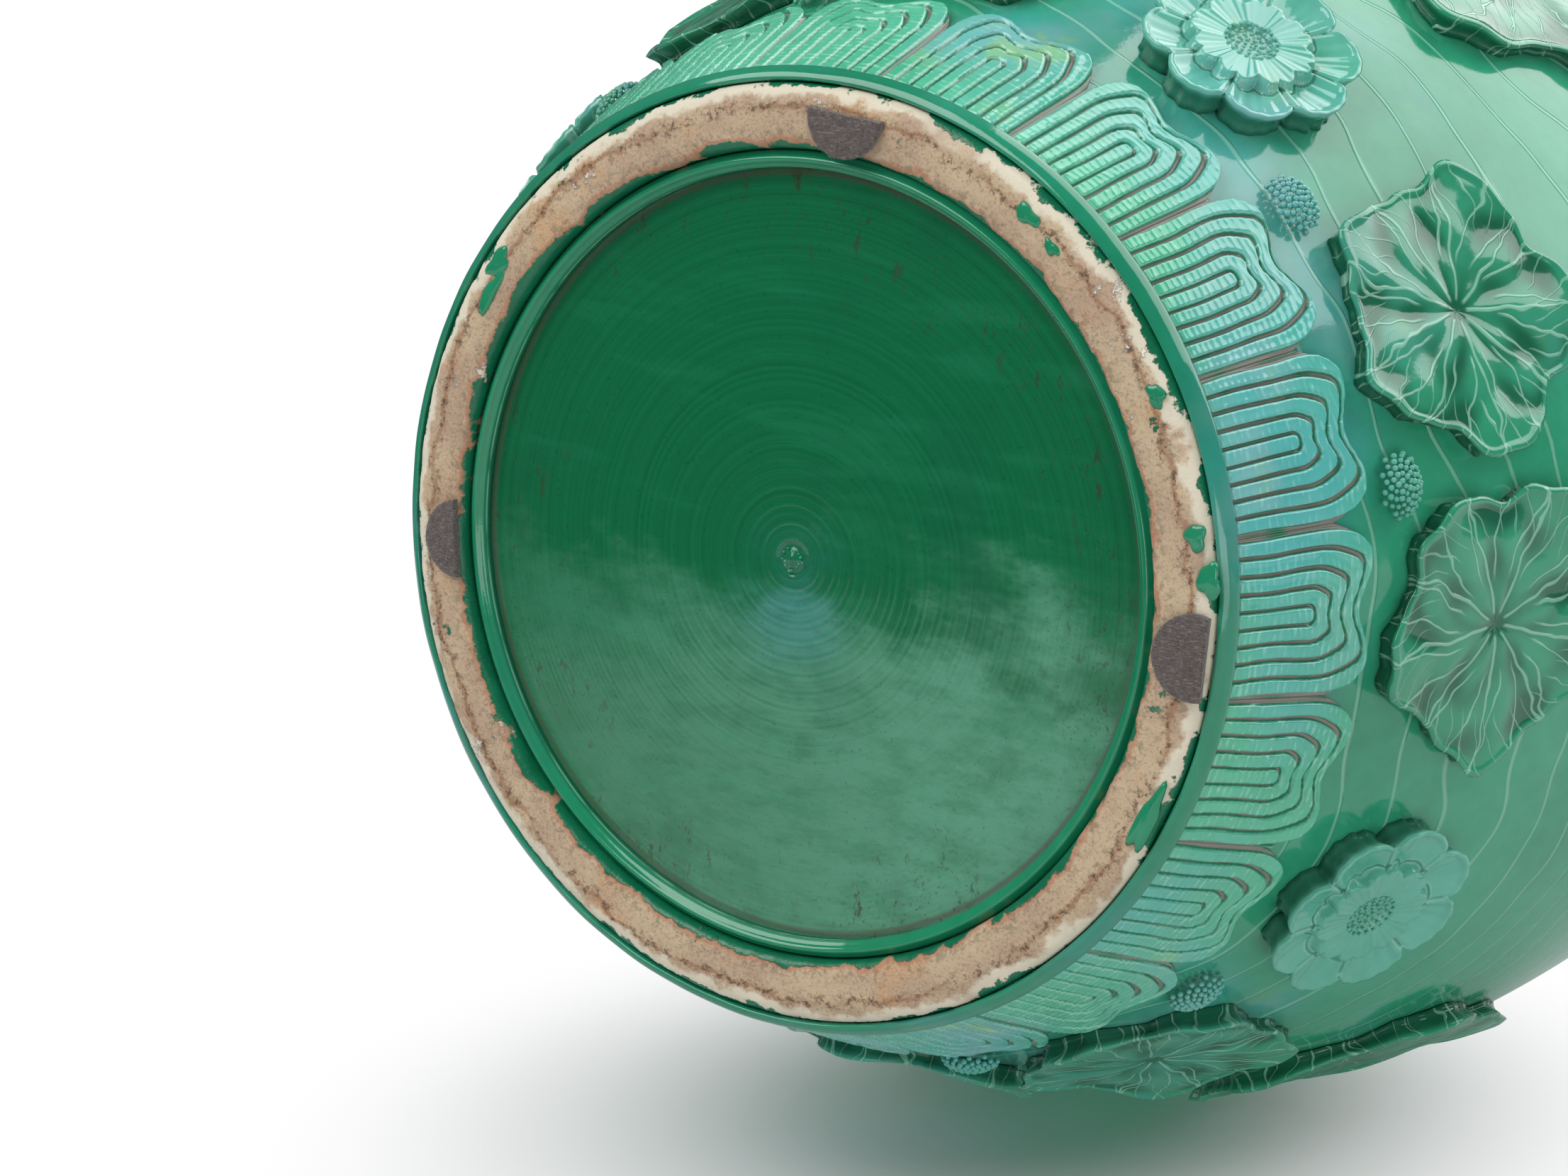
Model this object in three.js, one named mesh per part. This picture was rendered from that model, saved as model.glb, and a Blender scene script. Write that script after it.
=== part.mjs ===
import * as THREE from 'three';

// A bulbous glazed vase with a lotus pond in relief above a band of lappets.
// Millimetres, +Z up, origin under the middle of the foot, on the felt pads.

// Foot
const PAD_THICKNESS = 2.5;
const PAD_RADIUS = 12;
const FOOT_EDGE_RADIUS = 140;
const FOOT_EDGE_RISE = 7.7;
const BEAD_TOP_RISE = 8.7;
const BEAD_BAND = 4.7;
const BEAD_LIP_RISE = 3.2;
const BEAD_LIP_WIDTH = 2.4;
const BEAD_SHOULDER_RISE = 1.9;
const BEAD_SHOULDER_INSET = 0.5;
const FOOTRIM_WIDTH = 17;
const FOOTRIM_FLAT = 9;
const FOOTRIM_FLAT_INSET = 5;
const FOOTRIM_INNER_RISE = 0.7;
const FOOTRIM_OUTER_RISE = 2;
const RECESS_TAPER = 1.5;
const COIL_WIDTH = 5;
const COIL_DROP = 5.6;

// Floor slab
const FLOOR_THICKNESS = 12;
const FLOOR_EDGE_RADIUS = 110.5;
const FLOOR_SAG = 2.4;
const FLOOR_NUB_RADIUS = 3;
const FLOOR_NUB_DROP = 0.9;
const FLOOR_SIDE_RISE = 8.4;
const FLOOR_TOP_RADIUS = 102;

// Body, neck and mouth
const WALL = 10;
const WALL_INSET = 4;
const BODY_SEAM_SHARE = 0.42;
const BELLY_RADIUS = 214;
const BELLY_HEIGHT = 282;
const BELLY_PULL = 95;
const FOOT_FLARE = 0.45;
const NECK_RADIUS = 80;
const NECK_BASE_HEIGHT = 458;
const SHOULDER_PULL = 128;
const NECK_PULL = 62;
const NECK_WALL = 8;
const NECK_FLARE = 20;
const RIM_HEIGHT = 516;
const RIM_ROLL = 5.5;
const RIM_ROLL_START = -60;

// Relief
const LAPPET_COUNT = 20;
const LAPPET_PHASE = -3;
const LAPPET_LENGTH = 46;
const LAPPET_NOTCH = 4;
const LAPPET_THICKNESS = 3.6;
const LAPPET_SHOULDER_DROP = 12;
const LAPPET_SHOULDER_START = 0.6;
const LAPPET_GAP = 0.7;
const RELIEF_GAP = 0.35;

// Sprigs: heights above the foot's edge, turns in degrees from the flower before them
const LOWER_FLOWERS = 4;
const FIRST_FLOWER_TURN = -60;
const FLOWER_PETALS = 8;
const FLOWER_RADIUS = 31;
const FLOWER_HEIGHT = 82;
const FLOWER_LIFT = 7;
const FLOWER_CUP = 3;
const LEAF_LOBES = 5;
const LEAF_RADIUS = 43;
const LEAF_HEIGHT = 91;
const LEAF_LIFT = 3;
const LEAF_CURL = 3;
const LEAF_WAVE = 1.5;
const LEAF_TURNS = [31, 60];
const POD_RADIUS = 9;
const POD_SQUASH = 0.75;
const POD_HEIGHT = 57;
const POD_LIFT = 6.5;
const POD_SLOPE = 3;
const POD_TURNS = [16, 45.5];
const UPPER_SPRIGS = 6;
const UPPER_RADIUS = 56;
const UPPER_HEIGHT = 202;

// Felt pads: round discs cut straight on one side. Chord is the cut's distance from the axis,
// depth is measured from the cut to the round side, and side is 1 where that side looks outwards.
const FELT_PADS = [
  { name: 'felt_pad_1', turn: -85, chord: 128.6, depth: 12.3, side: -1 },
  { name: 'felt_pad_2', turn: 173.5, chord: 117, depth: 11.5, side: 1 },
  { name: 'felt_pad_3', turn: 1, chord: 135, depth: 15.5, side: -1 },
];

const CLEARANCE = 0.3;
const ROUND_STEPS = 48;
const DEGREE = Math.PI / 180;

const footEdge = PAD_THICKNESS + FOOT_EDGE_RISE;
const seat = PAD_THICKNESS + BEAD_TOP_RISE;
const footrimOuter = FOOT_EDGE_RADIUS - BEAD_BAND;
const footrimInner = footrimOuter - FOOTRIM_WIDTH;
const wallFoot = FOOT_EDGE_RADIUS - WALL_INSET;

const glaze = (color, roughness) => new THREE.MeshStandardMaterial({ color, roughness, metalness: 0 });
const finishes = {
  wall: () => glaze(0x5cbf9d, 0.2),
  bead: () => glaze(0x28896a, 0.2),
  base: () => glaze(0x12694a, 0.25),
  biscuit: () => glaze(0xc9ab8c, 0.9),
  lappet: () => glaze(0x6fcaa8, 0.2),
  flower: () => glaze(0x7cc7ab, 0.2),
  leaf: () => glaze(0x2f9a70, 0.22),
  pod: () => glaze(0x86c9b0, 0.25),
  felt: () => glaze(0x5d514d, 1),
};

const vase = new THREE.Group();

function add(name, geometry, finish) {
  const mesh = new THREE.Mesh(geometry, finish());
  mesh.name = name;
  vase.add(mesh);
  return mesh;
}

// A turned piece: its closed section is given as [radius, height] pairs, counterclockwise.
function turned(section) {
  const points = section.map(([radius, height]) => new THREE.Vector2(radius, height));
  const onAxis = section[0][0] === 0;
  if (!onAxis) points.push(points[0].clone());
  return new THREE.LatheGeometry(points, ROUND_STEPS).rotateX(Math.PI / 2);
}

// Outer and inner outline of the body, from the foot to the mouth
const bellyOutside = new THREE.CubicBezierCurve(
  new THREE.Vector2(wallFoot, seat),
  new THREE.Vector2(wallFoot + FOOT_FLARE * BELLY_PULL, seat + BELLY_PULL),
  new THREE.Vector2(BELLY_RADIUS, BELLY_HEIGHT - BELLY_PULL),
  new THREE.Vector2(BELLY_RADIUS, BELLY_HEIGHT),
);

const shoulderCurve = (wall, neckWall) => new THREE.CubicBezierCurve(
  new THREE.Vector2(BELLY_RADIUS - wall, BELLY_HEIGHT),
  new THREE.Vector2(BELLY_RADIUS - wall, BELLY_HEIGHT + SHOULDER_PULL - wall),
  new THREE.Vector2(NECK_RADIUS - neckWall + WALL_INSET, NECK_BASE_HEIGHT - NECK_PULL - wall),
  new THREE.Vector2(NECK_RADIUS - neckWall, NECK_BASE_HEIGHT),
);

const neckCurve = (neckWall) => new THREE.CubicBezierCurve(
  new THREE.Vector2(NECK_RADIUS - neckWall, NECK_BASE_HEIGHT),
  new THREE.Vector2(NECK_RADIUS - neckWall, NECK_BASE_HEIGHT + (RIM_HEIGHT - NECK_BASE_HEIGHT) / 2),
  new THREE.Vector2(NECK_RADIUS - neckWall + NECK_FLARE / 4, RIM_HEIGHT - RIM_ROLL),
  new THREE.Vector2(NECK_RADIUS - neckWall + NECK_FLARE, RIM_HEIGHT),
);

// Points of a curve between two shares of its parameter, as [radius, height] pairs
function stretch(curve, from, to, steps, inset = 0) {
  return Array.from({ length: steps + 1 }, (_, i) => {
    const point = curve.getPoint(from + (to - from) * i / steps);
    return [point.x - inset, point.y];
  });
}

const wallRing = (outside, inside) => turned([...outside, ...inside.reverse()]);

// Foot: turned ring, glazed bead round it, seam coil inside it and the floor slab on its ledge
const footSection = [
  [footrimOuter, PAD_THICKNESS + FOOTRIM_OUTER_RISE],
  [footrimOuter, seat],
  [footrimInner - RECESS_TAPER, seat],
  [footrimInner - RECESS_TAPER, seat - COIL_DROP],
  [footrimInner, PAD_THICKNESS + FOOTRIM_INNER_RISE],
  [footrimInner + FOOTRIM_FLAT_INSET - 1, PAD_THICKNESS],
  [footrimInner + FOOTRIM_FLAT_INSET + FOOTRIM_FLAT, PAD_THICKNESS],
];
add('foot_ring', turned(footSection), finishes.biscuit);

const beadInner = footrimOuter + CLEARANCE;
const beadSection = [
  [beadInner, PAD_THICKNESS + FOOTRIM_OUTER_RISE],
  [beadInner + BEAD_LIP_WIDTH, PAD_THICKNESS + BEAD_LIP_RISE],
  [FOOT_EDGE_RADIUS - BEAD_SHOULDER_INSET, footEdge - BEAD_SHOULDER_RISE],
  [FOOT_EDGE_RADIUS, footEdge],
  [FOOT_EDGE_RADIUS - WALL_INSET / 4, seat],
  [beadInner, seat],
];
add('foot_bead', turned(beadSection), finishes.bead);

const coilOuter = footrimInner - RECESS_TAPER - CLEARANCE;
const coilCentre = coilOuter - COIL_WIDTH / 2;
const coilSection = [[coilOuter, seat]];
for (let i = 1; i < 6; i += 1) {
  const angle = Math.PI * i / 6;
  coilSection.push([
    coilCentre + COIL_WIDTH / 2 * Math.cos(angle),
    seat - COIL_DROP + COIL_WIDTH / 2 * (1 - Math.sin(angle)),
  ]);
}
coilSection.push([coilOuter - COIL_WIDTH, seat]);
add('seam_coil', turned(coilSection.reverse()), finishes.bead);

const floorRadius = wallFoot - WALL - CLEARANCE;
const floorSection = [
  [0, seat - FLOOR_SAG - FLOOR_NUB_DROP],
  [FLOOR_NUB_RADIUS, seat - FLOOR_SAG],
  [FLOOR_EDGE_RADIUS / 2, seat - FLOOR_SAG / 2],
  [FLOOR_EDGE_RADIUS, seat],
  [floorRadius, seat],
  [floorRadius, seat + FLOOR_SIDE_RISE],
  [FLOOR_TOP_RADIUS, seat + FLOOR_THICKNESS],
  [0, seat + FLOOR_THICKNESS],
];
add('base_disc', turned(floorSection), finishes.base);

// Thrown wall sections, each standing on a flat seam
const lowerOutside = stretch(bellyOutside, 0, BODY_SEAM_SHARE, 5);
const bellyStretch = stretch(bellyOutside, BODY_SEAM_SHARE, 1, 6);
add('lower_wall', wallRing(lowerOutside, stretch(bellyOutside, 0, BODY_SEAM_SHARE, 5, WALL)), finishes.wall);
add('belly_wall', wallRing(bellyStretch, stretch(bellyOutside, BODY_SEAM_SHARE, 1, 6, WALL)), finishes.wall);

const shoulderOutside = stretch(shoulderCurve(0, 0), 0, 1, 9);
const shoulderInside = stretch(shoulderCurve(WALL, NECK_WALL), 0, 1, 9);
add('shoulder_wall', wallRing(shoulderOutside, shoulderInside), finishes.wall);
add('neck_wall', wallRing(stretch(neckCurve(0), 0, 1, 5), stretch(neckCurve(NECK_WALL), 0, 1, 5)), finishes.wall);

const rimOuter = NECK_RADIUS + NECK_FLARE;
const rimSection = [[rimOuter - NECK_WALL, RIM_HEIGHT], [rimOuter, RIM_HEIGHT]];
for (let i = 0; i <= 5; i += 1) {
  const angle = (RIM_ROLL_START + (180 - RIM_ROLL_START) * i / 5) * DEGREE;
  rimSection.push([
    rimOuter - RIM_ROLL / 5 + RIM_ROLL * Math.cos(angle),
    RIM_HEIGHT + RIM_ROLL + RIM_ROLL * Math.sin(angle),
  ]);
}
add('mouth_rim', turned(rimSection), finishes.wall);

// Point on the body's outside at a height above the foot's edge, lifted off along its normal
const LOOKUP_STEPS = 400;
const lookup = bellyOutside.getPoints(LOOKUP_STEPS);
const bellyTop = shoulderCurve(0, 0).getPoints(LOOKUP_STEPS);
const outline = [...lookup, ...bellyTop.slice(1)];

function onWall(angle, height, lift) {
  const z = Math.max(footEdge + height, seat);
  const next = Math.max(1, outline.findIndex((point) => point.y >= z));
  const low = outline[next - 1];
  const high = outline[next];
  const share = (z - low.y) / (high.y - low.y);
  const radius = low.x + (high.x - low.x) * share;
  const slope = high.clone().sub(low).normalize();
  const reach = radius + lift * slope.y;
  return new THREE.Vector3(reach * Math.cos(angle), reach * Math.sin(angle), z - lift * slope.x);
}

const wallRadiusAt = (height) => Math.hypot(onWall(0, height, 0).x, onWall(0, height, 0).y);

// Closed shell between a lifted outer sheet and an inner sheet over the same grid of cells
function shell(outer, inner, cells, border) {
  const vertices = [...outer, ...inner].flatMap((point) => point.toArray());
  const shift = outer.length;
  const index = [];
  for (const [a, b, c] of cells) {
    index.push(a, b, c, a + shift, c + shift, b + shift);
  }
  border.forEach((a, i) => {
    const b = border[(i + 1) % border.length];
    index.push(b, a, a + shift, b, a + shift, b + shift);
  });
  const geometry = new THREE.BufferGeometry();
  geometry.setAttribute('position', new THREE.Float32BufferAttribute(vertices, 3));
  geometry.setIndex(index);
  geometry.computeVertexNormals();
  return geometry;
}

// A lappet: straight legs down to the bead and a double hump with a notch on top
const LAPPET_COLUMNS = 8;
const LAPPET_ROWS = 2;

function lappetTop(share) {
  const fromMiddle = Math.abs(share);
  const dip = fromMiddle < 0.5 ? 0.5 + 0.5 * Math.cos(2 * Math.PI * share) : 0;
  const shoulder = Math.max(0, fromMiddle - LAPPET_SHOULDER_START) / (1 - LAPPET_SHOULDER_START);
  return LAPPET_LENGTH - LAPPET_NOTCH * dip - LAPPET_SHOULDER_DROP * shoulder * shoulder;
}

function lappet(turn) {
  const halfWidth = Math.PI / LAPPET_COUNT - LAPPET_GAP / 2 / FOOT_EDGE_RADIUS;
  const outer = [];
  const inner = [];
  for (let column = 0; column <= LAPPET_COLUMNS; column += 1) {
    const share = 2 * column / LAPPET_COLUMNS - 1;
    for (let row = 0; row <= LAPPET_ROWS; row += 1) {
      const start = seat - footEdge + LAPPET_THICKNESS * FOOT_FLARE + CLEARANCE;
      const height = start + (lappetTop(share) - start) * row / LAPPET_ROWS;
      const angle = turn + share * halfWidth;
      outer.push(onWall(angle, height, RELIEF_GAP + LAPPET_THICKNESS));
      inner.push(onWall(angle, height, RELIEF_GAP));
    }
  }
  const at = (column, row) => column * (LAPPET_ROWS + 1) + row;
  const cells = [];
  for (let column = 0; column < LAPPET_COLUMNS; column += 1) {
    for (let row = 0; row < LAPPET_ROWS; row += 1) {
      cells.push([at(column, row), at(column + 1, row), at(column + 1, row + 1)]);
      cells.push([at(column, row), at(column + 1, row + 1), at(column, row + 1)]);
    }
  }
  const border = [];
  for (let column = 0; column < LAPPET_COLUMNS; column += 1) border.push(at(column, 0));
  for (let row = 0; row < LAPPET_ROWS; row += 1) border.push(at(LAPPET_COLUMNS, row));
  for (let column = LAPPET_COLUMNS; column > 0; column -= 1) border.push(at(column, LAPPET_ROWS));
  for (let row = LAPPET_ROWS; row > 0; row -= 1) border.push(at(0, row));
  return shell(outer, inner, cells, border);
}

// A sprig pressed on the wall: rings of its outline shrunk towards the middle, each with its lift
function sprig({ turn, height, steps, rings, reach, lift, stretchUp = 1 }) {
  const centre = wallRadiusAt(height);
  const outer = [onWall(turn, height, RELIEF_GAP + lift(0, 0))];
  const inner = [onWall(turn, height, RELIEF_GAP)];
  for (let ring = 1; ring <= rings; ring += 1) {
    for (let step = 0; step < steps; step += 1) {
      const angle = 2 * Math.PI * step / steps;
      const size = reach(angle) * ring / rings;
      const across = turn + size * Math.cos(angle) / centre;
      const up = height + size * Math.sin(angle) * stretchUp;
      outer.push(onWall(across, up, RELIEF_GAP + lift(ring / rings, angle)));
      inner.push(onWall(across, up, RELIEF_GAP));
    }
  }
  const at = (ring, step) => 1 + (ring - 1) * steps + (step % steps);
  const cells = [];
  for (let step = 0; step < steps; step += 1) {
    cells.push([0, at(1, step), at(1, step + 1)]);
    for (let ring = 1; ring < rings; ring += 1) {
      cells.push([at(ring, step), at(ring + 1, step), at(ring + 1, step + 1)]);
      cells.push([at(ring, step), at(ring + 1, step + 1), at(ring, step + 1)]);
    }
  }
  const border = Array.from({ length: steps }, (_, step) => at(rings, step));
  return shell(outer, inner, cells, border);
}

// Widest ring of a sprig's grid, so that its flat facets stay off the curved wall
const SPRIG_RING = 20;

const flowerAt = (turn, height, radius) => sprig({
  turn,
  height,
  steps: FLOWER_PETALS * 3,
  rings: Math.ceil(radius / SPRIG_RING),
  reach: (angle) => radius * (0.9 + 0.1 * Math.cos(FLOWER_PETALS * angle)),
  lift: (share) => FLOWER_LIFT + FLOWER_CUP * share,
});

const leafAt = (turn, height, radius) => sprig({
  turn,
  height,
  steps: LEAF_LOBES * 5,
  rings: Math.ceil(radius / SPRIG_RING),
  reach: (angle) => radius * (0.92 + 0.08 * Math.cos(LEAF_LOBES * angle + turn)),
  lift: (share, angle) => LEAF_LIFT + share * (LEAF_CURL + LEAF_WAVE * Math.cos(LEAF_LOBES * angle + turn)),
});

const podAt = (turn, height) => sprig({
  turn,
  height,
  steps: 12,
  rings: 1,
  reach: () => POD_RADIUS,
  lift: (share) => POD_LIFT - POD_SLOPE * share,
  stretchUp: POD_SQUASH,
});

for (let i = 0; i < LAPPET_COUNT; i += 1) {
  const turn = (LAPPET_PHASE + 360 / LAPPET_COUNT * i) * DEGREE;
  add(`lappet_${String(i + 1).padStart(2, '0')}`, lappet(turn), finishes.lappet);
}

// Lower pond: flowers with two leaves and two seed pods after each
for (let i = 0; i < LOWER_FLOWERS; i += 1) {
  const start = FIRST_FLOWER_TURN + 360 / LOWER_FLOWERS * i;
  add(`lotus_flower_${i + 1}`, flowerAt(start * DEGREE, FLOWER_HEIGHT, FLOWER_RADIUS), finishes.flower);
  LEAF_TURNS.forEach((turn, k) => {
    const leaf = leafAt((start + turn) * DEGREE, LEAF_HEIGHT, LEAF_RADIUS);
    add(`lotus_leaf_${LEAF_TURNS.length * i + k + 1}`, leaf, finishes.leaf);
  });
  POD_TURNS.forEach((turn, k) => {
    const pod = podAt((start + turn) * DEGREE, POD_HEIGHT);
    add(`seed_pod_${POD_TURNS.length * i + k + 1}`, pod, finishes.pod);
  });
}

// Upper pond: large sprigs round the belly, two flowers opposite each other and leaves between
for (let i = 0; i < UPPER_SPRIGS; i += 1) {
  const turn = 360 / UPPER_SPRIGS * i * DEGREE;
  if (i % 3 === 0) {
    add(`belly_flower_${i / 3 + 1}`, flowerAt(turn, UPPER_HEIGHT, UPPER_RADIUS), finishes.flower);
  } else {
    add(`belly_leaf_${i - Math.floor(i / 3)}`, leafAt(turn, UPPER_HEIGHT, UPPER_RADIUS), finishes.leaf);
  }
}

// A felt pad's outline: the arc that is left of a disc, closed by its straight cut
const PAD_STEPS = 20;

function pad(depth, side) {
  const end = Math.acos((PAD_RADIUS - depth) / PAD_RADIUS);
  const arc = Array.from({ length: PAD_STEPS + 1 }, (_, i) => {
    const angle = side * end * (2 * i / PAD_STEPS - 1);
    return new THREE.Vector2(side * PAD_RADIUS * Math.cos(angle), PAD_RADIUS * Math.sin(angle));
  });
  return new THREE.ExtrudeGeometry(new THREE.Shape(arc), { depth: PAD_THICKNESS, bevelEnabled: false });
}

for (const { name, turn, chord, depth, side } of FELT_PADS) {
  const distance = chord - side * (PAD_RADIUS - depth);
  const mesh = add(name, pad(depth, side), finishes.felt);
  mesh.rotation.z = turn * DEGREE;
  mesh.position.set(distance * Math.cos(turn * DEGREE), distance * Math.sin(turn * DEGREE), 0);
}

export default vase;
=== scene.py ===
"""Dresses a bulbous green-glazed vase that carries a lotus pond in relief over a band of lappets.

Metres, +Z up. The vase stands on its felt pads; the camera looks at the foot from below.
"""

import logging
import math
from collections.abc import Callable, Sequence
from dataclasses import dataclass, field
from enum import Enum
from typing import Union

import bmesh
import bpy
import numpy as np
from mathutils import Matrix, Vector

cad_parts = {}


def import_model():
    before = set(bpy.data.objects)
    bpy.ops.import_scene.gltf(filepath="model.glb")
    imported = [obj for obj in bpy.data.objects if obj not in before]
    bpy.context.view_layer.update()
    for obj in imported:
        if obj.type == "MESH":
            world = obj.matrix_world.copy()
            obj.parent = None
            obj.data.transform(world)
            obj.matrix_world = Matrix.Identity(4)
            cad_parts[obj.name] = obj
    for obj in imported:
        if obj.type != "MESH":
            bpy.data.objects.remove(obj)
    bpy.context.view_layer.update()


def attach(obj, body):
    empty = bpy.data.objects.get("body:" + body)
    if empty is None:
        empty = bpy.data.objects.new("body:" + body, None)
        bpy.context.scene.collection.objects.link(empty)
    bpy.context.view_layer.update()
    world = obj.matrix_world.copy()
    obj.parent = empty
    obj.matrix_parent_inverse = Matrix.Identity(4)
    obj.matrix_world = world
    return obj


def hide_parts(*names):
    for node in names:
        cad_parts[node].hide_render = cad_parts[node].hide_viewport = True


LOG = logging.getLogger("vase")
MM = 0.001
TAU = 2 * math.pi

Colour = tuple[float, float, float]
Feed = Union["Wire", float, Colour, bpy.types.NodeSocket]


def srgb(red: int, green: int, blue: int) -> Colour:
    """Turn an 8-bit screen colour into linear light."""
    def linear(value: float) -> float:
        """Undo the screen's curve for one channel."""
        share = value / 255
        return share / 12.92 if share <= 0.04045 else ((share + 0.055) / 1.055) ** 2.4
    return linear(red), linear(green), linear(blue)


class Wire:
    """One node socket, on which Python's operators build Math nodes."""

    def __init__(self, sheet: "Sheet", socket: bpy.types.NodeSocket) -> None:
        """Keep the socket and the shader that it belongs to."""
        self.sheet = sheet
        self.socket = socket

    def _math(self, operation: str, *values: Feed) -> "Wire":
        """Add a Math node of one operation."""
        return self.sheet.node("ShaderNodeMath", {"operation": operation}, *values)

    def __add__(self, other: Feed) -> "Wire":
        """Add two values."""
        return self._math("ADD", self, other)

    def __sub__(self, other: Feed) -> "Wire":
        """Take one value from another."""
        return self._math("SUBTRACT", self, other)

    def __mul__(self, other: Feed) -> "Wire":
        """Multiply two values."""
        return self._math("MULTIPLY", self, other)

    def __truediv__(self, other: Feed) -> "Wire":
        """Divide one value by another."""
        return self._math("DIVIDE", self, other)

    def __rsub__(self, other: Feed) -> "Wire":
        """Take this value from a number."""
        return self._math("SUBTRACT", other, self)

    def __rtruediv__(self, other: Feed) -> "Wire":
        """Divide a number by this value."""
        return self._math("DIVIDE", other, self)

    __radd__ = __add__
    __rmul__ = __mul__

    def power(self, exponent: float) -> "Wire":
        """Raise this value to a power."""
        return self._math("POWER", self, exponent)

    def step(self, low: float, high: float) -> "Wire":
        """Rise smoothly from 0 at low to 1 at high.

        Args:
            low: Value at which the mask starts.
            high: Value at which it is full; it may be below low.

        Returns:
            The mask, from 0 to 1.
        """
        settings = {"interpolation_type": "SMOOTHSTEP"}
        return self.sheet.node("ShaderNodeMapRange", settings, self, low, high, 0.0, 1.0)

    def turn_from(self, across: "Wire") -> "Wire":
        """Give the angle whose sine and cosine go as this value and another."""
        return self._math("ARCTAN2", self, across)

    def near_whole(self) -> "Wire":
        """Give the distance to the nearest whole number."""
        return self._math("PINGPONG", self, 0.5)

    def clamp(self) -> "Wire":
        """Hold this value between 0 and 1."""
        return self.sheet.node("ShaderNodeClamp", {}, self, 0.0, 1.0)


class Sheet:
    """The node tree of one material, with short ways to fill it."""

    def __init__(self, name: str) -> None:
        """Start an empty material.

        Args:
            name: Name of the material.
        """
        self.material = bpy.data.materials.new(name)
        self.material.use_nodes = True
        self.tree = self.material.node_tree
        self.tree.nodes.clear()
        place = self.tree.nodes.new("ShaderNodeTexCoord").outputs["Object"]
        self.place = Wire(self, place)
        parts = self.tree.nodes.new("ShaderNodeSeparateXYZ")
        self.tree.links.new(place, parts.inputs[0])
        self.x, self.y, self.z = (Wire(self, parts.outputs[i]) for i in range(3))
        self.radius = self._radius()

    def _radius(self) -> Wire:
        """Measure the distance from the turning axis."""
        return (self.x * self.x + self.y * self.y).power(0.5)

    def node(self, kind: str, settings: dict[str, object], *values: Feed, out: int | str = 0) -> Wire:
        """Add a node, set it up and feed its inputs in order.

        Args:
            kind: The node's type.
            settings: Attributes of the node, set before its inputs.
            values: A link, number or colour for each input; None leaves one as it is.
            out: Index or name of the output that is wanted.

        Returns:
            The wanted output.
        """
        made = self.tree.nodes.new(kind)
        for key, value in settings.items():
            setattr(made, key, value)
        sockets = [s for s in made.inputs if s.enabled]
        for socket, value in zip(sockets, values):
            self.feed(socket, value)
        outputs = [s for s in made.outputs if s.enabled]
        picked = outputs[out] if isinstance(out, int) else made.outputs[out]
        return Wire(self, picked)

    def feed(self, socket: bpy.types.NodeSocket, value: Feed | None) -> None:
        """Link or set one input.

        Args:
            socket: The input.
            value: What it gets; None leaves it alone.
        """
        if value is None:
            return
        if isinstance(value, Wire):
            self.tree.links.new(value.socket, socket)
        elif isinstance(value, tuple):
            socket.default_value = (*value, 1.0)[:len(socket.default_value)]
        else:
            socket.default_value = value

    def noise(self, scale: float, detail: float = 3.0, rough: float = 0.55,
              where: Wire | None = None) -> Wire:
        """Add a noise pattern.

        Args:
            scale: How fine it is, per metre.
            detail: Number of octaves.
            rough: Weight of the finer octaves.
            where: Coordinates; the object's own by default.

        Returns:
            The noise value, about 0.5 on average.
        """
        return self.node("ShaderNodeTexNoise", {}, where or self.place, scale, detail, rough)

    def specks(self, scale: float) -> Wire:
        """Add a cell pattern and give the distance to the nearest cell's centre."""
        return self.node("ShaderNodeTexVoronoi", {}, self.place, scale)

    def mix(self, share: Feed, first: Feed, second: Feed) -> Wire:
        """Mix two colours.

        Args:
            share: How much of the second colour shows.
            first: First colour.
            second: Second colour.

        Returns:
            The mixed colour.
        """
        made = self.tree.nodes.new("ShaderNodeMix")
        made.data_type = "RGBA"
        self.feed(made.inputs["Factor"], share)
        self.feed(made.inputs[6], first)
        self.feed(made.inputs[7], second)
        return Wire(self, made.outputs[2])

    def attribute(self, name: str) -> Wire:
        """Read a value that the piece's mesh carries."""
        return self.node("ShaderNodeAttribute", {"attribute_name": name}, out="Fac")

    def scaled(self, x: float, y: float, z: float) -> Wire:
        """Stretch the object's coordinates by a factor along each axis."""
        return self.node("ShaderNodeVectorMath", {"operation": "MULTIPLY"}, self.place, (x, y, z))

    def finish(self, colour: Feed, rough: Feed, bump: Wire | None = None, depth: float = 0.3 * MM,
               coat: float = 0.0, sheen: float = 0.0) -> bpy.types.Material:
        """Close the material with a Principled shader.

        Args:
            colour: Base colour.
            rough: Roughness.
            bump: Height that turns the normal, 0 to 1.
            depth: What a height of 1 measures.
            coat: Weight of a clear coat, the same all over.
            sheen: Weight of a fuzz sheen, the same all over.

        Returns:
            The finished material.
        """
        shader = self.tree.nodes.new("ShaderNodeBsdfPrincipled")
        self.feed(shader.inputs["Base Color"], colour)
        self.feed(shader.inputs["Roughness"], rough)
        shader.inputs["Coat Weight"].default_value = coat
        shader.inputs["Coat Roughness"].default_value = 0.06
        shader.inputs["Sheen Weight"].default_value = sheen
        if bump is not None:
            relief = self.tree.nodes.new("ShaderNodeBump")
            relief.inputs["Distance"].default_value = depth
            self.feed(relief.inputs["Height"], bump)
            self.tree.links.new(relief.outputs[0], shader.inputs["Normal"])
        end = self.tree.nodes.new("ShaderNodeOutputMaterial")
        self.tree.links.new(shader.outputs[0], end.inputs[0])
        return self.material


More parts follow.
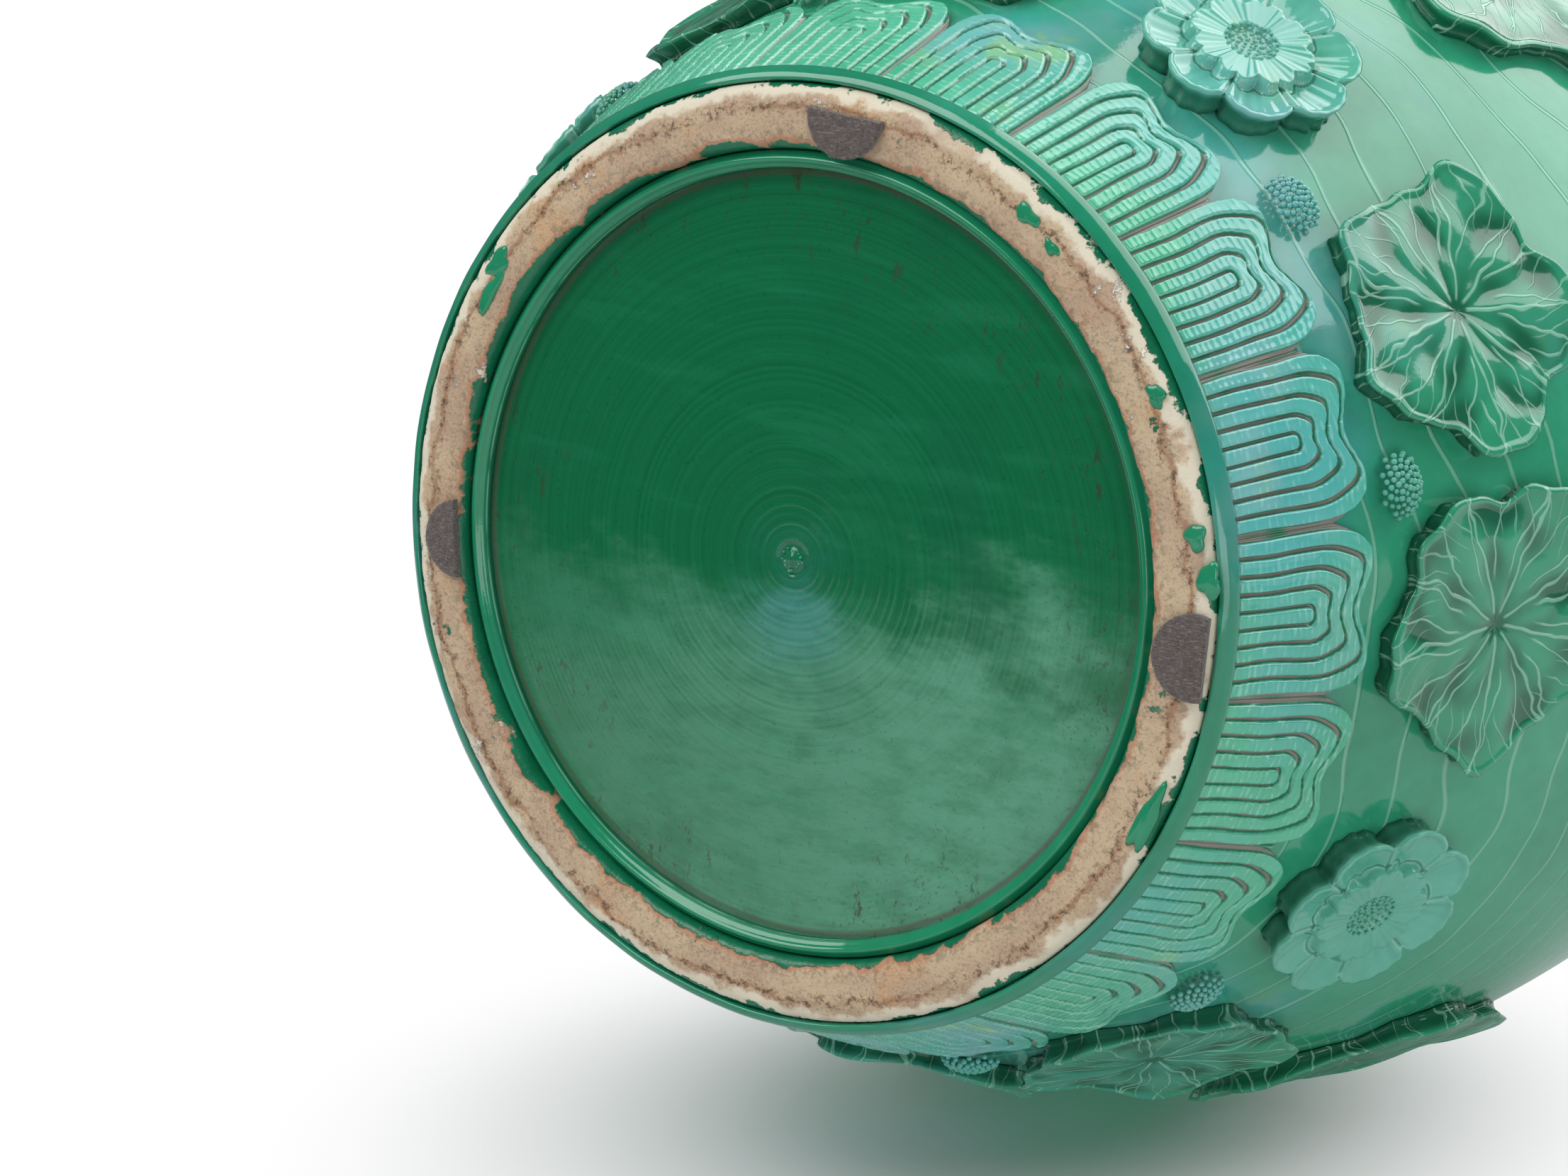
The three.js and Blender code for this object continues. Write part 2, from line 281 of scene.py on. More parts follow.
@dataclass(frozen=True)
class Glaze:
    """A green lead glaze that pools dark in hollows and thins to mint on edges, where the mint lines are
    partly a painted highlight.
    """

    name: str
    thin: Colour
    full: Colour
    deep: Colour
    rough: float = 0.1
    shimmer: float = 0.35
    # weight of the pale edge lines, which are thin glaze and partly painted highlight
    edges: float = 0.6
    lines: float = 0.6
    groove: Colour = srgb(142, 134, 126)
    # pale mint of the carved lines and of the edge lines, which are partly painted highlight
    line: Colour = srgb(160, 220, 194)
    oil_blue: Colour = srgb(96, 176, 206)
    oil_violet: Colour = srgb(150, 180, 214)
    oil_gold: Colour = srgb(190, 204, 150)

    def carved(self, sheet: Sheet) -> Wire | None:
        """Draw what is carved into the clay under this glaze.

        Args:
            sheet: The material that is being built.

        Returns:
            A mask of the carved lines, or None where there are none.
        """
        return None

    def build(self) -> bpy.types.Material:
        """Build the material; the mesh carries 'pool' from 0 on ridges to 1 in grooves.

        Returns:
            The glaze.
        """
        sheet = Sheet(self.name)
        pool = sheet.attribute("pool")
        cloud = sheet.noise(14, 4)
        mottle = sheet.noise(140, 3)
        tone = (cloud * 1.3 + mottle * 0.5 - 0.45).clamp()
        colour = sheet.mix(tone, self.thin, self.full)
        colour = sheet.mix((pool.step(0.25, 0.8) * 0.75), colour, self.deep)
        # pale lines along ridge edges: thin glaze there, and partly a painted highlight
        edge = pool.step(0.08, 0.22) * (1 - pool.step(0.3, 0.5)) * sheet.noise(80, 2).step(0.3, 0.55)
        colour = sheet.mix(edge * self.edges, colour, self.line)
        worn = pool.step(0.78, 0.95) * sheet.noise(60, 2).step(0.25, 0.45) * 0.9
        colour = sheet.mix(worn, colour, self.groove)
        film = sheet.noise(9, 2).step(0.5, 0.7) * (1 - pool.step(0.3, 0.7))
        hue = sheet.noise(38, 3)
        oil = sheet.mix(hue.step(0.4, 0.6), self.oil_blue, self.oil_violet)
        oil = sheet.mix(hue.step(0.6, 0.68), oil, self.oil_gold)
        colour = sheet.mix(film * self.shimmer, colour, oil)
        height = sheet.noise(420, 2) * 0.12 + sheet.noise(70, 2) * 0.5
        lines = self.carved(sheet)
        if lines is not None:
            colour = sheet.mix(lines * self.lines, colour, self.line)
            height = height + lines * 0.9
        rough = self.rough + worn * 0.3 + mottle.step(0.6, 0.8) * 0.06
        return sheet.finish(colour, rough, height, 0.3 * MM, coat=0.3)


@dataclass(frozen=True)
class LeafGlaze(Glaze):
    """Glaze over a leaf with raised ribs that fork towards the edge."""

    ribs: int = 9

    def carved(self, sheet: Sheet) -> Wire:
        """Draw the ribs from the leaf's own coordinates, which its mesh carries."""
        across, up = sheet.attribute("across"), sheet.attribute("up")
        away = (across * across + up * up).power(0.5)
        angle = up.turn_from(across) + (sheet.noise(45, 2) - 0.5) * 0.5
        main = self.rib(angle, away, self.ribs, 0.0, 0.0007)
        fork = self.rib(angle, away, 2 * self.ribs, 9.0, 0.00055) * away.step(0.012, 0.018)
        small = self.rib(angle, away, 4 * self.ribs, -14.0, 0.0004) * away.step(0.024, 0.03) * 0.7
        return (main + fork + small).clamp() * away.step(0.0025, 0.004)

    def rib(self, angle: Wire, away: Wire, count: int, bend: float, width: float) -> Wire:
        """Draw one set of ribs.

        Args:
            angle: Angle round the leaf's middle.
            away: Distance from the middle.
            count: Number of ribs.
            bend: How much they turn on their way out, per metre.
            width: Half the width of a rib.

        Returns:
            The mask of the ribs.
        """
        phase = ((angle + away * bend) * (count / TAU) + 100.0).near_whole()
        return (phase * away * (TAU / count)).step(width, width * 0.35)


@dataclass(frozen=True)
class WaterGlaze(Glaze):
    """Glaze over the wall, which is carved with flowing water lines round the pond."""

    top: float = 0.36

    def carved(self, sheet: Sheet) -> Wire:
        """Draw thin waving lines that fade out above the pond."""
        flow = sheet.noise(6, 3, 0.4) * 6.5 + sheet.z * 60 + 50.0
        return flow.near_whole().step(0.05, 0.015) * sheet.z.step(self.top, self.top - 0.06)


@dataclass(frozen=True)
class BaseGlaze:
    """The deep green glaze of the base, brushed on while the wheel turned."""

    name: str = "base_glaze"
    deep: Colour = srgb(2, 84, 48)
    light: Colour = srgb(12, 118, 74)
    brushed: Colour = srgb(20, 124, 82)
    shade: Colour = srgb(12, 82, 54)
    speckle: Colour = srgb(2, 56, 32)
    seam: Colour = srgb(78, 84, 66)
    iron: Colour = srgb(52, 58, 36)
    # colour of the painted reflection on the +y half of the base
    painted_reflection: Colour = srgb(104, 172, 142)
    sheen: Colour = srgb(64, 136, 142)
    sheen_drop: float = 0.014
    sheen_size: float = 0.03
    edge: float = 0.1105

    def build(self) -> bpy.types.Material:
        """Build the material with rings, brush streaks and iron specks near the edge.

        Returns:
            The glaze.
        """
        sheet = Sheet(self.name)
        wobble = sheet.noise(30, 2) * 0.0012
        ring_place = sheet.node("ShaderNodeCombineXYZ", {}, sheet.radius + wobble, 0.0, 0.0)
        rings = sheet.noise(520, 4, 0.7, ring_place)
        fine = sheet.noise(1700, 2, 0.6, ring_place)
        colour = sheet.mix((rings * 1.6 - 0.35).clamp(), self.deep, self.light)
        streak = sheet.noise(55, 3, 0.6, sheet.scaled(0.3, 1.6, 1.0)).step(0.5, 0.72)
        colour = sheet.mix(streak * 0.3, colour, self.brushed)
        brush = sheet.noise(24, 5, 0.66, sheet.scaled(0.8, 1.25, 1.0))
        # painted reflection: a pale hazy patch over the +y half of the base, with a brushed, streaky edge
        film = (sheet.y + (brush - 0.5) * 0.14).step(0.0, 0.036) * (sheet.x * 4.5 + 0.72).clamp()
        reflection_streaks = sheet.noise(120, 4, 0.7, sheet.scaled(0.5, 1.2, 1.0)).step(0.3, 0.62)
        colour = sheet.mix(film * (reflection_streaks * 0.26 + 0.3), colour, self.painted_reflection)
        beside = sheet.y - self.sheen_drop
        sheen = (sheet.x * sheet.x + beside * beside).power(0.5).step(self.sheen_size, 0.0)
        colour = sheet.mix(sheen * brush.step(0.36, 0.6) * 0.5, colour, self.sheen)
        dark = sheet.noise(26, 4).step(0.55, 0.75)
        colour = sheet.mix(dark * 0.35, colour, self.shade)
        share = sheet.radius / self.edge
        rim = share.step(0.62, 0.97)
        patches = sheet.noise(34, 3).step(0.43, 0.56)
        dots = sheet.specks(520).step(0.26, 0.14) * patches * rim
        blots = sheet.noise(110, 5, 0.78, sheet.scaled(1.7, 0.7, 1.0)).step(0.585, 0.63) * patches * rim
        colour = sheet.mix(dots * 0.5, colour, self.iron)
        colour = sheet.mix(blots * 0.8, colour, self.iron)
        colour = sheet.mix(sheet.noise(800, 3, 0.7).step(0.4, 0.3) * 0.4, colour, self.speckle)
        line = share.step(0.985, 0.996) * (1 - share.step(1.0, 1.01))
        colour = sheet.mix(line * 0.7, colour, self.seam)
        height = rings * 0.5 + fine * 0.2 + sheet.noise(260, 2) * 0.3
        rough = 0.13 + streak * 0.08 + dots * 0.2 + film * 0.1
        return sheet.finish(colour, rough, height, 0.12 * MM, coat=0.2)


@dataclass(frozen=True)
class Biscuit:
    """The unglazed footrim with its ragged glaze margins, grit and stains."""

    name: str = "biscuit"
    clay: Colour = srgb(188, 162, 126)
    pink: Colour = srgb(172, 140, 110)
    stain: Colour = srgb(190, 142, 92)
    soot: Colour = srgb(86, 68, 52)
    silt: Colour = srgb(112, 104, 84)
    flush: Colour = srgb(178, 122, 92)
    rust: Colour = srgb(140, 92, 58)
    white: Colour = srgb(222, 214, 192)
    chalk: Colour = srgb(232, 226, 214)
    green: Colour = srgb(26, 124, 88)
    pool: Colour = srgb(6, 88, 58)
    inner: float = 0.1183
    middle: float = 0.1285
    outer: float = 0.1353

    def build(self) -> bpy.types.Material:
        """Build the material from the distance to the axis and noise.

        Returns:
            The biscuit with glaze on both margins.
        """
        sheet = Sheet(self.name)
        outer = sheet.radius + (sheet.noise(48, 5, 0.66) - 0.5) * 0.02
        inner = sheet.radius + (sheet.noise(75, 4, 0.6) - 0.5) * 0.011
        patch = sheet.noise(16, 3)
        grit = sheet.noise(420, 4, 0.75)
        grain = sheet.noise(1100, 3, 0.7)
        colour = sheet.mix(sheet.noise(40, 4).step(0.38, 0.62), self.clay, self.pink)
        colour = sheet.mix(sheet.noise(30, 4).step(0.54, 0.66) * 0.7, colour, self.stain)
        colour = sheet.mix((grain * 1.6 - 0.4).clamp() * 0.3, colour, self.chalk)
        colour = sheet.mix(grain.step(0.46, 0.34) * 0.3, colour, self.soot)
        middle = inner.step(self.middle - 0.0016, self.middle)
        middle = middle * inner.step(self.middle + 0.0014, self.middle)
        colour = sheet.mix(middle * patch.step(0.34, 0.5) * 0.65, colour, self.rust)
        near = inner.step(self.middle - 0.004, self.middle) * inner.step(self.middle + 0.003, self.middle)
        colour = sheet.mix(near * grit.step(0.5, 0.6) * 0.85, colour, self.soot)
        dirt = inner.step(self.inner + 0.007, self.inner + 0.001) * grit.step(0.48, 0.6)
        colour = sheet.mix(dirt * 0.6, colour, self.silt)
        line = inner.step(self.inner + 0.0018, self.inner + 0.0006)
        colour = sheet.mix(line * 0.7, colour, self.flush)
        margin = outer.step(self.outer - 0.0052, self.outer - 0.003) * sheet.noise(30, 3).step(0.3, 0.42)
        colour = sheet.mix(margin * 0.92, colour, self.white)
        crust = sheet.noise(150, 5, 0.75).step(0.6, 0.66) * patch.step(0.48, 0.56)
        colour = sheet.mix(crust * 0.9, colour, self.chalk)
        spill = sheet.noise(85, 5, 0.68).step(0.635, 0.66) * sheet.noise(15, 2).step(0.44, 0.54)
        glazed = (outer.step(self.outer - 0.001, self.outer - 0.0004) + spill
                  + inner.step(self.inner + 0.0004, self.inner - 0.0004)).clamp()
        colour = sheet.mix(glazed, colour, sheet.mix(sheet.noise(90, 3), self.pool, self.green))
        rough = 0.88 - glazed * 0.74
        height = grit * 0.35 + grain * 0.25 + crust * 0.8 + glazed * 0.7
        return sheet.finish(colour, rough, height, 0.6 * MM)


@dataclass(frozen=True)
class Felt:
    """Dark grey-brown needled felt."""

    name: str = "felt"
    dark: Colour = srgb(74, 64, 60)
    light: Colour = srgb(140, 126, 120)

    def build(self) -> bpy.types.Material:
        """Build the felt with tangled lighter fibres.

        Returns:
            The felt.
        """
        sheet = Sheet(self.name)
        warp = sheet.noise(900, 4, 0.7)
        threads = sheet.noise(1500, 3, 0.6, sheet.scaled(0.35, 1.4, 1.0)).step(0.48, 0.66)
        colour = sheet.mix((threads * 0.7 + warp * 0.4 - 0.1).clamp(), self.dark, self.light)
        return sheet.finish(colour, 0.95, warp + threads * 0.6, 0.6 * MM, sheen=0.4)


class Finish(Enum):
    """The finishes of the vase, each built once."""

    WALL = WaterGlaze(
        "wall_glaze", srgb(62, 168, 130), srgb(22, 130, 94), srgb(8, 90, 62), lines=0.36)
    BEAD = Glaze("bead_glaze", srgb(40, 146, 112), srgb(10, 112, 78), srgb(4, 78, 52), shimmer=0.22)
    RECESS = Glaze("recess_glaze", srgb(36, 146, 104), srgb(10, 112, 74), srgb(4, 72, 46), shimmer=0.05)
    LAPPET = Glaze("lappet_glaze", srgb(104, 200, 166), srgb(44, 160, 120), srgb(8, 100, 68), shimmer=0.42)
    FLOWER = Glaze(
        "flower_glaze", srgb(110, 190, 168), srgb(52, 150, 120), srgb(10, 84, 58), shimmer=0.42, edges=0.3)
    LEAF = LeafGlaze(
        "leaf_glaze", srgb(60, 160, 124), srgb(18, 122, 84), srgb(2, 64, 42),
        shimmer=0.12, edges=0.0, lines=0.5)
    BASE = BaseGlaze()
    BISCUIT = Biscuit()
    FELT = Felt()
    FIBRE = Felt("felt_fibre", srgb(120, 106, 100), srgb(182, 166, 158))


class Kiln:
    """Builds each finish once and hands it out."""

    def __init__(self) -> None:
        """Start with nothing built."""
        self.built: dict[Finish, bpy.types.Material] = {}

    def __call__(self, finish: Finish) -> bpy.types.Material:
        """Give the material of a finish."""
        if finish not in self.built:
            self.built[finish] = finish.value.build()
        return self.built[finish]


@dataclass
class Profile:
    """The outside of the wall, from the bead to the mouth, as three joined curves."""

    seat: float = 0.0112
    foot: float = 0.136
    flare: float = 0.45
    pull: float = 0.095
    belly: float = 0.214
    belly_height: float = 0.282
    neck: float = 0.08
    neck_height: float = 0.458
    shoulder_pull: float = 0.128
    neck_pull: float = 0.062
    neck_inset: float = 0.004
    neck_flare: float = 0.02
    rim_height: float = 0.516
    rim_roll: float = 0.0055
    edge: float = 0.0102
    table: np.ndarray = field(init=False)

    def __post_init__(self) -> None:
        """Sample the curves once."""
        self.table = np.vstack([
            self.bezier(self.belly_curve(), 300),
            self.bezier(self.shoulder_curve(), 300)[1:],
            self.bezier(self.neck_curve(), 100)[1:],
        ])

    @staticmethod
    def bezier(points: Sequence[tuple[float, float]], steps: int) -> np.ndarray:
        """Sample a cubic curve.

        Args:
            points: Its four control points, as radius and height.
            steps: Number of samples less one.

        Returns:
            The samples, one row each.
        """
        t = np.linspace(0, 1, steps + 1)[:, None]
        a, b, c, d = (np.array(p)[None, :] for p in points)
        return a * (1 - t) ** 3 + 3 * b * t * (1 - t) ** 2 + 3 * c * t * t * (1 - t) + d * t ** 3

    def belly_curve(self) -> list[tuple[float, float]]:
        """Control points from the foot to the belly."""
        return [
            (self.foot, self.seat),
            (self.foot + self.flare * self.pull, self.seat + self.pull),
            (self.belly, self.belly_height - self.pull),
            (self.belly, self.belly_height),
        ]

    def shoulder_curve(self) -> list[tuple[float, float]]:
        """Control points from the belly to the neck."""
        return [
            (self.belly, self.belly_height),
            (self.belly, self.belly_height + self.shoulder_pull),
            (self.neck + self.neck_inset, self.neck_height - self.neck_pull),
            (self.neck, self.neck_height),
        ]

    def neck_curve(self) -> list[tuple[float, float]]:
        """Control points from the neck's base to the mouth."""
        return [
            (self.neck, self.neck_height),
            (self.neck, (self.neck_height + self.rim_height) / 2),
            (self.neck + self.neck_flare / 4, self.rim_height - self.rim_roll),
            (self.neck + self.neck_flare, self.rim_height),
        ]

    def radius(self, z: np.ndarray) -> np.ndarray:
        """Give the wall's outer radius at a height."""
        return np.interp(z, self.table[:, 1], self.table[:, 0])

    def place(self, turn: np.ndarray, z: np.ndarray, lift: np.ndarray) -> np.ndarray:
        """Put points on the wall.

        Args:
            turn: Angle round the axis, in radians.
            z: Height of the foot of the normal.
            lift: Distance off the wall, along its normal.

        Returns:
            The points, one row each.
        """
        step = 0.5 * MM
        slope = (self.radius(z + step) - self.radius(z - step)) / (2 * step)
        length = np.sqrt(1 + slope * slope)
        reach = self.radius(z) + lift / length
        return np.stack([reach * np.cos(turn), reach * np.sin(turn), z - lift * slope / length], -1)


class Grain:
    """Smooth repeatable noise for moving vertices."""

    def __init__(self, seed: int, waves: int = 24) -> None:
        """Draw the waves.

        Args:
            seed: Seed of the random draw.
            waves: Number of waves that are summed.
        """
        rng = np.random.default_rng(seed)
        way = rng.normal(size=(waves, 3))
        self.way = way / np.linalg.norm(way, axis=1)[:, None] * rng.uniform(0.5, 1.6, (waves, 1))
        self.phase = rng.uniform(0, TAU, waves)

    def __call__(self, points: np.ndarray, pitch: float) -> np.ndarray:
        """Give the noise at points.

        Args:
            points: Points, one row each.
            pitch: Length of the middle wave.

        Returns:
            Values with a spread of about 1.
        """
        total = np.zeros(points.shape[:-1])
        for way, phase in zip(self.way, self.phase):
            total += np.sin(points @ way * (TAU / pitch) + phase)
        return total / math.sqrt(len(self.phase) / 2)


def put(name: str, data: bpy.types.ID) -> bpy.types.Object:
    """Make an object of some data and link it to the scene."""
    made = bpy.data.objects.new(name, data)
    bpy.context.scene.collection.objects.link(made)
    return made


def make_mesh(name: str, points: np.ndarray, faces: Sequence[Sequence[int]],
              **layers: np.ndarray) -> bpy.types.Object:
    """Make a smooth mesh object from arrays.

    Args:
        name: Name of the object.
        points: Vertices, one row each.
        faces: Vertex numbers of each face.
        layers: Values that the mesh carries, one for each vertex.

    Returns:
        The object, linked to the scene.
    """
    mesh = bpy.data.meshes.new(name)
    rows = faces.tolist() if isinstance(faces, np.ndarray) else faces
    mesh.from_pydata(points.reshape(-1, 3).tolist(), [], rows)
    layers.setdefault("pool", np.zeros(len(mesh.vertices)))
    for key, values in layers.items():
        layer = mesh.attributes.new(key, "FLOAT", "POINT")
        layer.data.foreach_set("value", values.ravel().astype(np.float32))
    mesh.polygons.foreach_set("use_smooth", [True] * len(mesh.polygons))
    return put(name, mesh)


def wrap_faces(rows: int, columns: int, close_rows: bool, close_columns: bool) -> np.ndarray:
    """List the quads of a grid of vertices.

    Args:
        rows: Number of rows.
        columns: Number of columns.
        close_rows: Whether the last row meets the first.
        close_columns: Whether the last column meets the first.

    Returns:
        The quads, turned outwards when columns run counterclockwise and rows run up.
    """
    r = np.arange(rows if close_rows else rows - 1)
    c = np.arange(columns if close_columns else columns - 1)
    r, c = np.meshgrid(r, c, indexing="ij")
    up, on = (r + 1) % rows, (c + 1) % columns
    quads = np.stack([r * columns + c, r * columns + on, up * columns + on, up * columns + c], -1)
    return quads.reshape(-1, 4)


def cap_faces(rows: int, columns: int) -> list[list[int]]:
    """List the triangles that close both ends of a ring of rows.

    Args:
        rows: Number of rows.
        columns: Number of columns, which close on themselves.

    Returns:
        The triangles; the middle of the first row comes after the rows, and that of the last row next.
    """
    count = rows * columns
    faces = []
    for i in range(columns):
        on = (i + 1) % columns
        faces.append([count, on, i])
        faces.append([count + 1, count - columns + i, count - columns + on])
    return faces


@dataclass
class Builder:
    """What every sub-assembly shares: the wall's profile, the finishes and how a piece is handed over."""

    profile: Profile
    kiln: Kiln

    def hand_over(self, piece: bpy.types.Object, finish: Finish, slot: str, *nodes: str) -> None:
        """Dress a piece, fix it to the body and hide what it stands for.

        Args:
            piece: The finished mesh object.
            finish: Its finish.
            slot: Not used.
            nodes: The solids that it replaces.
        """
        piece.data.materials.clear()
        piece.data.materials.append(self.kiln(finish))
        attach(piece, "root")
        if nodes:
            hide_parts(*nodes)
        LOG.info("%s: %d faces", piece.name, len(piece.data.polygons))

    def turned(self, name: str, section: np.ndarray, turns: int,
               change: Callable[[np.ndarray, np.ndarray], np.ndarray] | None = None,
               pool: Callable[[np.ndarray], np.ndarray] | None = None) -> bpy.types.Object:
        """Turn a closed section round the axis.

        Args:
            name: Name of the piece.
            section: Radius and height of each point, counterclockwise.
            turns: Number of steps round.
            change: Gives the radial shift of each point from its place and section.
            pool: Gives how deep each section point lies.

        Returns:
            The closed piece.
        """
        angle = np.linspace(0, TAU, turns, endpoint=False)
        radius = np.broadcast_to(section[:, 0][:, None], (len(section), turns)).copy()
        height = np.broadcast_to(section[:, 1][:, None], (len(section), turns)).copy()
        points = np.stack([radius * np.cos(angle), radius * np.sin(angle), height], -1)
        if change is not None:
            points = change(points, section)
        faces = wrap_faces(len(section), turns, True, True)
        depth = np.zeros(len(section)) if pool is None else pool(section)
        return make_mesh(name, points, faces, pool=np.repeat(depth[:, None], turns, 1))


def fillet(points: Sequence[tuple[float, float]], rounds: int = 3) -> np.ndarray:
    """Round the corners of a closed section by cutting them again and again.

    Args:
        points: Corners, in millimetres, as radius and height.
        rounds: Number of passes.

    Returns:
        The rounded section, in metres.
    """
    line = np.array(points) * MM
    for _ in range(rounds):
        ahead = np.roll(line, -1, 0)
        line = np.stack([line * 0.75 + ahead * 0.25, line * 0.25 + ahead * 0.75], 1).reshape(-1, 2)
    return line


def refine(section: np.ndarray, pitch: float) -> np.ndarray:
    """Share out points evenly along a closed section.

    Args:
        section: Radius and height of each corner.
        pitch: Wanted distance between points.

    Returns:
        The denser section.
    """
    closed = np.vstack([section, section[:1]])
    run = np.concatenate([[0], np.cumsum(np.linalg.norm(np.diff(closed, axis=0), axis=1))])
    count = max(8, int(run[-1] / pitch))
    spots = np.linspace(0, run[-1], count, endpoint=False)
    return np.stack([np.interp(spots, run, closed[:, i]) for i in range(2)], -1)


@dataclass
class Foot(Builder):
    """Footrim, bead, seam coil, base, bubbles and drops of glaze; sizes in millimetres."""

    turns: int = 720
    edge_height: float = 10.2
    seat_height: float = 11.2
    rest_height: float = 2.5
    ring_outer: float = 135.3
    ring_inner: float = 116.8
    ring_pitch: float = 0.6
    bead_outer: float = 140.0
    bead_inner: float = 135.5
    bead_pitch: float = 0.35
    sag: float = 0.25
    base_reach: float = 110.5
    base_edge: float = 125.6
    base_top: float = 23.2
    base_sag: float = 2.4
    base_turns: int = 256
    coarse_ring: float = 2.6
    fine_ring: float = 1.7
    nub_radius: float = 2.0
    bubble_count: int = 14
    bubble_height: float = 8.6
    coil_reach: float = 114.0
    coil_drop: float = 3.1
    coil_radius: float = 2.22
    drop_rings: int = 8
    drop_turns: int = 28

    def build(self) -> None:
        """Build every piece of the foot."""
        self.ring()
        self.bead()
        self.coil()
        self.base()
        self.bubbles()
        self.glaze_runs()

    def ring(self) -> None:
        """Build the footrim with its gritty surface."""
        rest = self.rest_height
        section = refine(fillet([
            (self.ring_outer, rest + 2.2), (self.ring_outer, self.seat_height),
            (self.ring_inner, self.seat_height), (self.ring_inner, rest + 3),
            (118.0, rest + 0.7), (121.5, rest + 0.05), (126, rest), (130.5, rest),
        ], 2), self.ring_pitch * MM)
        grain = Grain(3)
        fine = Grain(4)

        def change(points: np.ndarray, section: np.ndarray) -> np.ndarray:
            """Roughen the underside."""
            down = (section[:, 1] < (rest + 3) * MM)[:, None]
            grit = np.clip(grain(points, 9 * MM) * 0.16 + fine(points, 2.2 * MM) * 0.07, -0.4, 0.4)
            points[..., 2] += np.where(down, np.maximum(grit, -0.1) * MM + 0.1 * MM, 0)
            return points
        piece = self.turned("foot_ring_turned", section, self.turns, change)
        self.hand_over(piece, Finish.BISCUIT, "biscuit", "foot_ring")

    def bead(self) -> None:
        """Build the glazed roll round the footrim."""
        rest = self.rest_height
        section = refine(fillet([
            (self.bead_inner, rest + 1.9), (138.4, rest + 3.4), (139.7, self.edge_height - 1.8),
            (self.bead_outer, self.edge_height - 0.3), (139.2, self.seat_height),
            (self.bead_inner, self.seat_height),
        ], 3), self.bead_pitch * MM)
        section[:, 0] = np.minimum(section[:, 0], self.bead_outer * MM)
        grain = Grain(8)

        def change(points: np.ndarray, section: np.ndarray) -> np.ndarray:
            """Let the glaze sag unevenly along the lower edge."""
            drop = np.clip(grain(points, 28 * MM), -1.5, 1.5) * self.sag * MM
            share = np.clip((self.edge_height * MM - section[:, 1]) / (6 * MM), 0, 1)[:, None]
            points[..., 2] += drop * share
            return points
        piece = self.turned("foot_bead_glazed", section, self.turns, change)
        self.hand_over(piece, Finish.BEAD, "bead_glaze", "foot_bead")

    def coil(self) -> None:
        """Build the roll moulding in the corner under the base."""
        top = self.seat_height
        angle = np.linspace(-math.pi, 0, 40)
        swell = self.coil_radius + 0.28 * np.cos(4 * angle)
        roll = np.stack([self.coil_reach + swell * np.cos(angle),
                         top - self.coil_drop + swell * np.sin(angle)], -1)
        section = np.vstack([roll, [(116.5, top), (111.5, top)]]) * MM
        piece = self.turned("seam_coil_rolled", refine(section, 0.4 * MM), self.turns,
                            pool=lambda s: np.clip((s[:, 1] / MM - top + 3) / 3, 0, 0.7))
        self.hand_over(piece, Finish.RECESS, "base_glaze", "seam_coil")

    def base(self) -> None:
        """Build the base disc with its wheel rings and nub."""
        reach = np.concatenate([np.linspace(0.0, self.base_reach, 330), [112, 118, self.base_edge]])
        share = np.clip(reach / self.base_reach, 0, 1)
        height = (self.seat_height - self.base_sag * (1 - share ** 1.4)) * MM
        coarse = 0.025 * np.sin(reach * TAU / self.coarse_ring) * (1 - share)
        rings = coarse + 0.012 * np.sin(reach * TAU / self.fine_ring)
        moat = np.exp(-((reach - 2 * self.nub_radius) / 1.2) ** 2)
        nub = 0.85 * np.exp(-(reach / 2.1) ** 2) - 0.5 * moat
        height -= (rings + nub) * MM * (reach < self.base_reach - 0.5)
        radius = reach * MM
        top = np.array([
            (self.base_edge, 19.6), (120, 22), (101, self.base_top), (0.0, self.base_top)]) * MM
        line = np.vstack([np.stack([radius, height], -1), top])
        turns = self.base_turns
        angle = np.linspace(0, TAU, turns, endpoint=False)
        body = line[1:-1]
        points = np.stack([body[:, :1] * np.cos(angle), body[:, :1] * np.sin(angle),
                           np.repeat(body[:, 1:], turns, 1)], -1).reshape(-1, 3)
        points = np.vstack([points, [[0, 0, line[0, 1]], [0, 0, line[-1, 1]]]])
        faces = wrap_faces(len(body), turns, False, True).tolist() + cap_faces(len(body), turns)
        piece = make_mesh("base_disc_thrown", points, faces)
        self.hand_over(piece, Finish.BASE, "base_glaze", "base_disc")

    def bubbles(self) -> None:
        """Put a ring of burst glaze bubbles round the nub."""
        rng = np.random.default_rng(5)
        tree = Scatter("glaze_bubbles", 8, 5)
        spots = []
        for i in range(self.bubble_count):
            angle = TAU * i / self.bubble_count + rng.uniform(-0.2, 0.2)
            reach = rng.uniform(2.4, 3.6) * MM
            spot = (reach * math.cos(angle), reach * math.sin(angle), self.bubble_height * MM)
            spots.append((spot, rng.uniform(0.3, 0.55) * MM))
        piece = tree.lay("base_bubbles", spots, self.kiln(Finish.WALL))
        self.hand_over(piece, Finish.WALL, "base_glaze")

    def glaze_runs(self) -> None:
        """Put thick drops of glaze on the footrim."""
